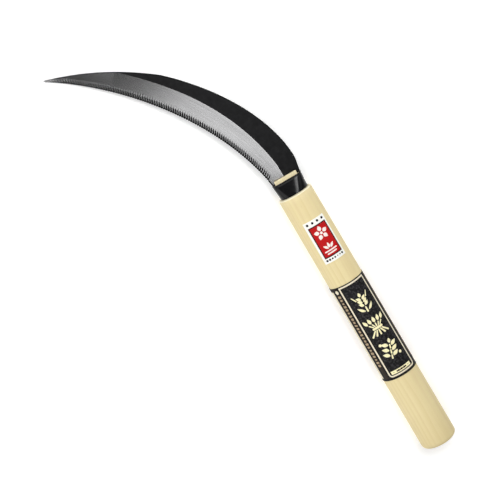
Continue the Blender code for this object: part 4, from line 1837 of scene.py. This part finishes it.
@dataclass
class Sickle:
    """The whole tool, with its places read from the frame."""

    bench: Bench
    handle_length: float
    mouth: float
    half_tang: float = 0.9 * MM
    tang_length: float = 62 * MM
    tang_widths: Pair = (8 * MM, 13 * MM)
    tang_overlap: float = 1.8 * MM
    overrun: float = 4 * MM  # how far a cutter runs on past an opening
    pin_sunk: float = 0.5 * MM
    red_angles: Pair = (-28.6, 47.2)
    wrap_angles: Pair = (-135.5, 163.5)

    @classmethod
    def from_frame(cls, frame: dict) -> Sickle:
        """Reads where the shoulder and the ferrule's mouth are.


        Returns:
            The sickle.
        """
        foot, mouth = (corner.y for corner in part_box("ferrule"))
        return cls(Bench.from_record(frame["record"]), foot - AIR, mouth)

    def build(self) -> None:
        """Builds and dresses every piece in order."""
        bench, half, overrun = self.bench, self.half_tang, self.overrun
        handle = HandleShape(self.handle_length)
        ferrule = FerruleShape(self.handle_length + AIR, self.mouth)
        seat = self.mouth + AIR
        wedge = Wedge(self.mouth, half_blade=1.0 * MM)
        pin_y = sum(corner.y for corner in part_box("tang_pin")) / 2
        pin = TangPin((0.0, pin_y, -handle.size(pin_y)[1] / 2 + self.pin_sunk))
        tang_end, tang_root = self.tang_widths
        tang = (
            (seat - self.tang_length, tang_end, -half, half),
            (seat + self.tang_overlap, tang_root, -half, half),
        )
        slot = (
            (tang[0][0] - AIR, tang_end + 2 * AIR, -half - AIR, half + AIR),
            (tang[1][0] + overrun, tang_root + 2 * AIR, -half - AIR, half + AIR),
        )
        slots = [
            box_between("tang_slot", *slot),
            box_between("wedge_slot", *wedge.ends(AIR, overrun)),
            pin.turned("pin_hole", AIR, overrun),
        ]
        Handle(handle, ferrule, slots).dress(bench)
        Ferrule(ferrule).dress(bench)
        hole = pin.turned("tang_hole", AIR, overrun)
        Blade(BladeOutline(), seat, box_between("tang", *tang), hole).dress(bench)
        wedge.dress(bench)
        pin.dress(bench)
        RedLabel(self.film("red_label", handle, self.red_angles)).dress(bench)
        WrapLabel(self.film("wrap_label", handle, self.wrap_angles)).dress(bench)

    @staticmethod
    def film(node: str, handle: HandleShape, angles: Pair) -> Film:
        """Returns the sheet of a label, between the ends of its node."""
        low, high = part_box(node)
        return Film(handle, angles, (low.y, high.y))


def corners() -> list[list[float]]:
    """Returns the shown model's lowest and highest corner as plain numbers."""
    return [list(corner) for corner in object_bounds()]


def main() -> None:
    """Builds the tool and its studio round the frame."""
    logging.basicConfig(level=logging.INFO, format="%(name)s %(message)s")
    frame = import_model()
    cad_box = corners()
    sickle = Sickle.from_frame(frame)
    sickle.build()
    Studio(floor_z=cad_box[0][2]).build()
    LOG.info("%d pieces", len(sickle.bench.made))


if __name__ == "__main__":
    main()
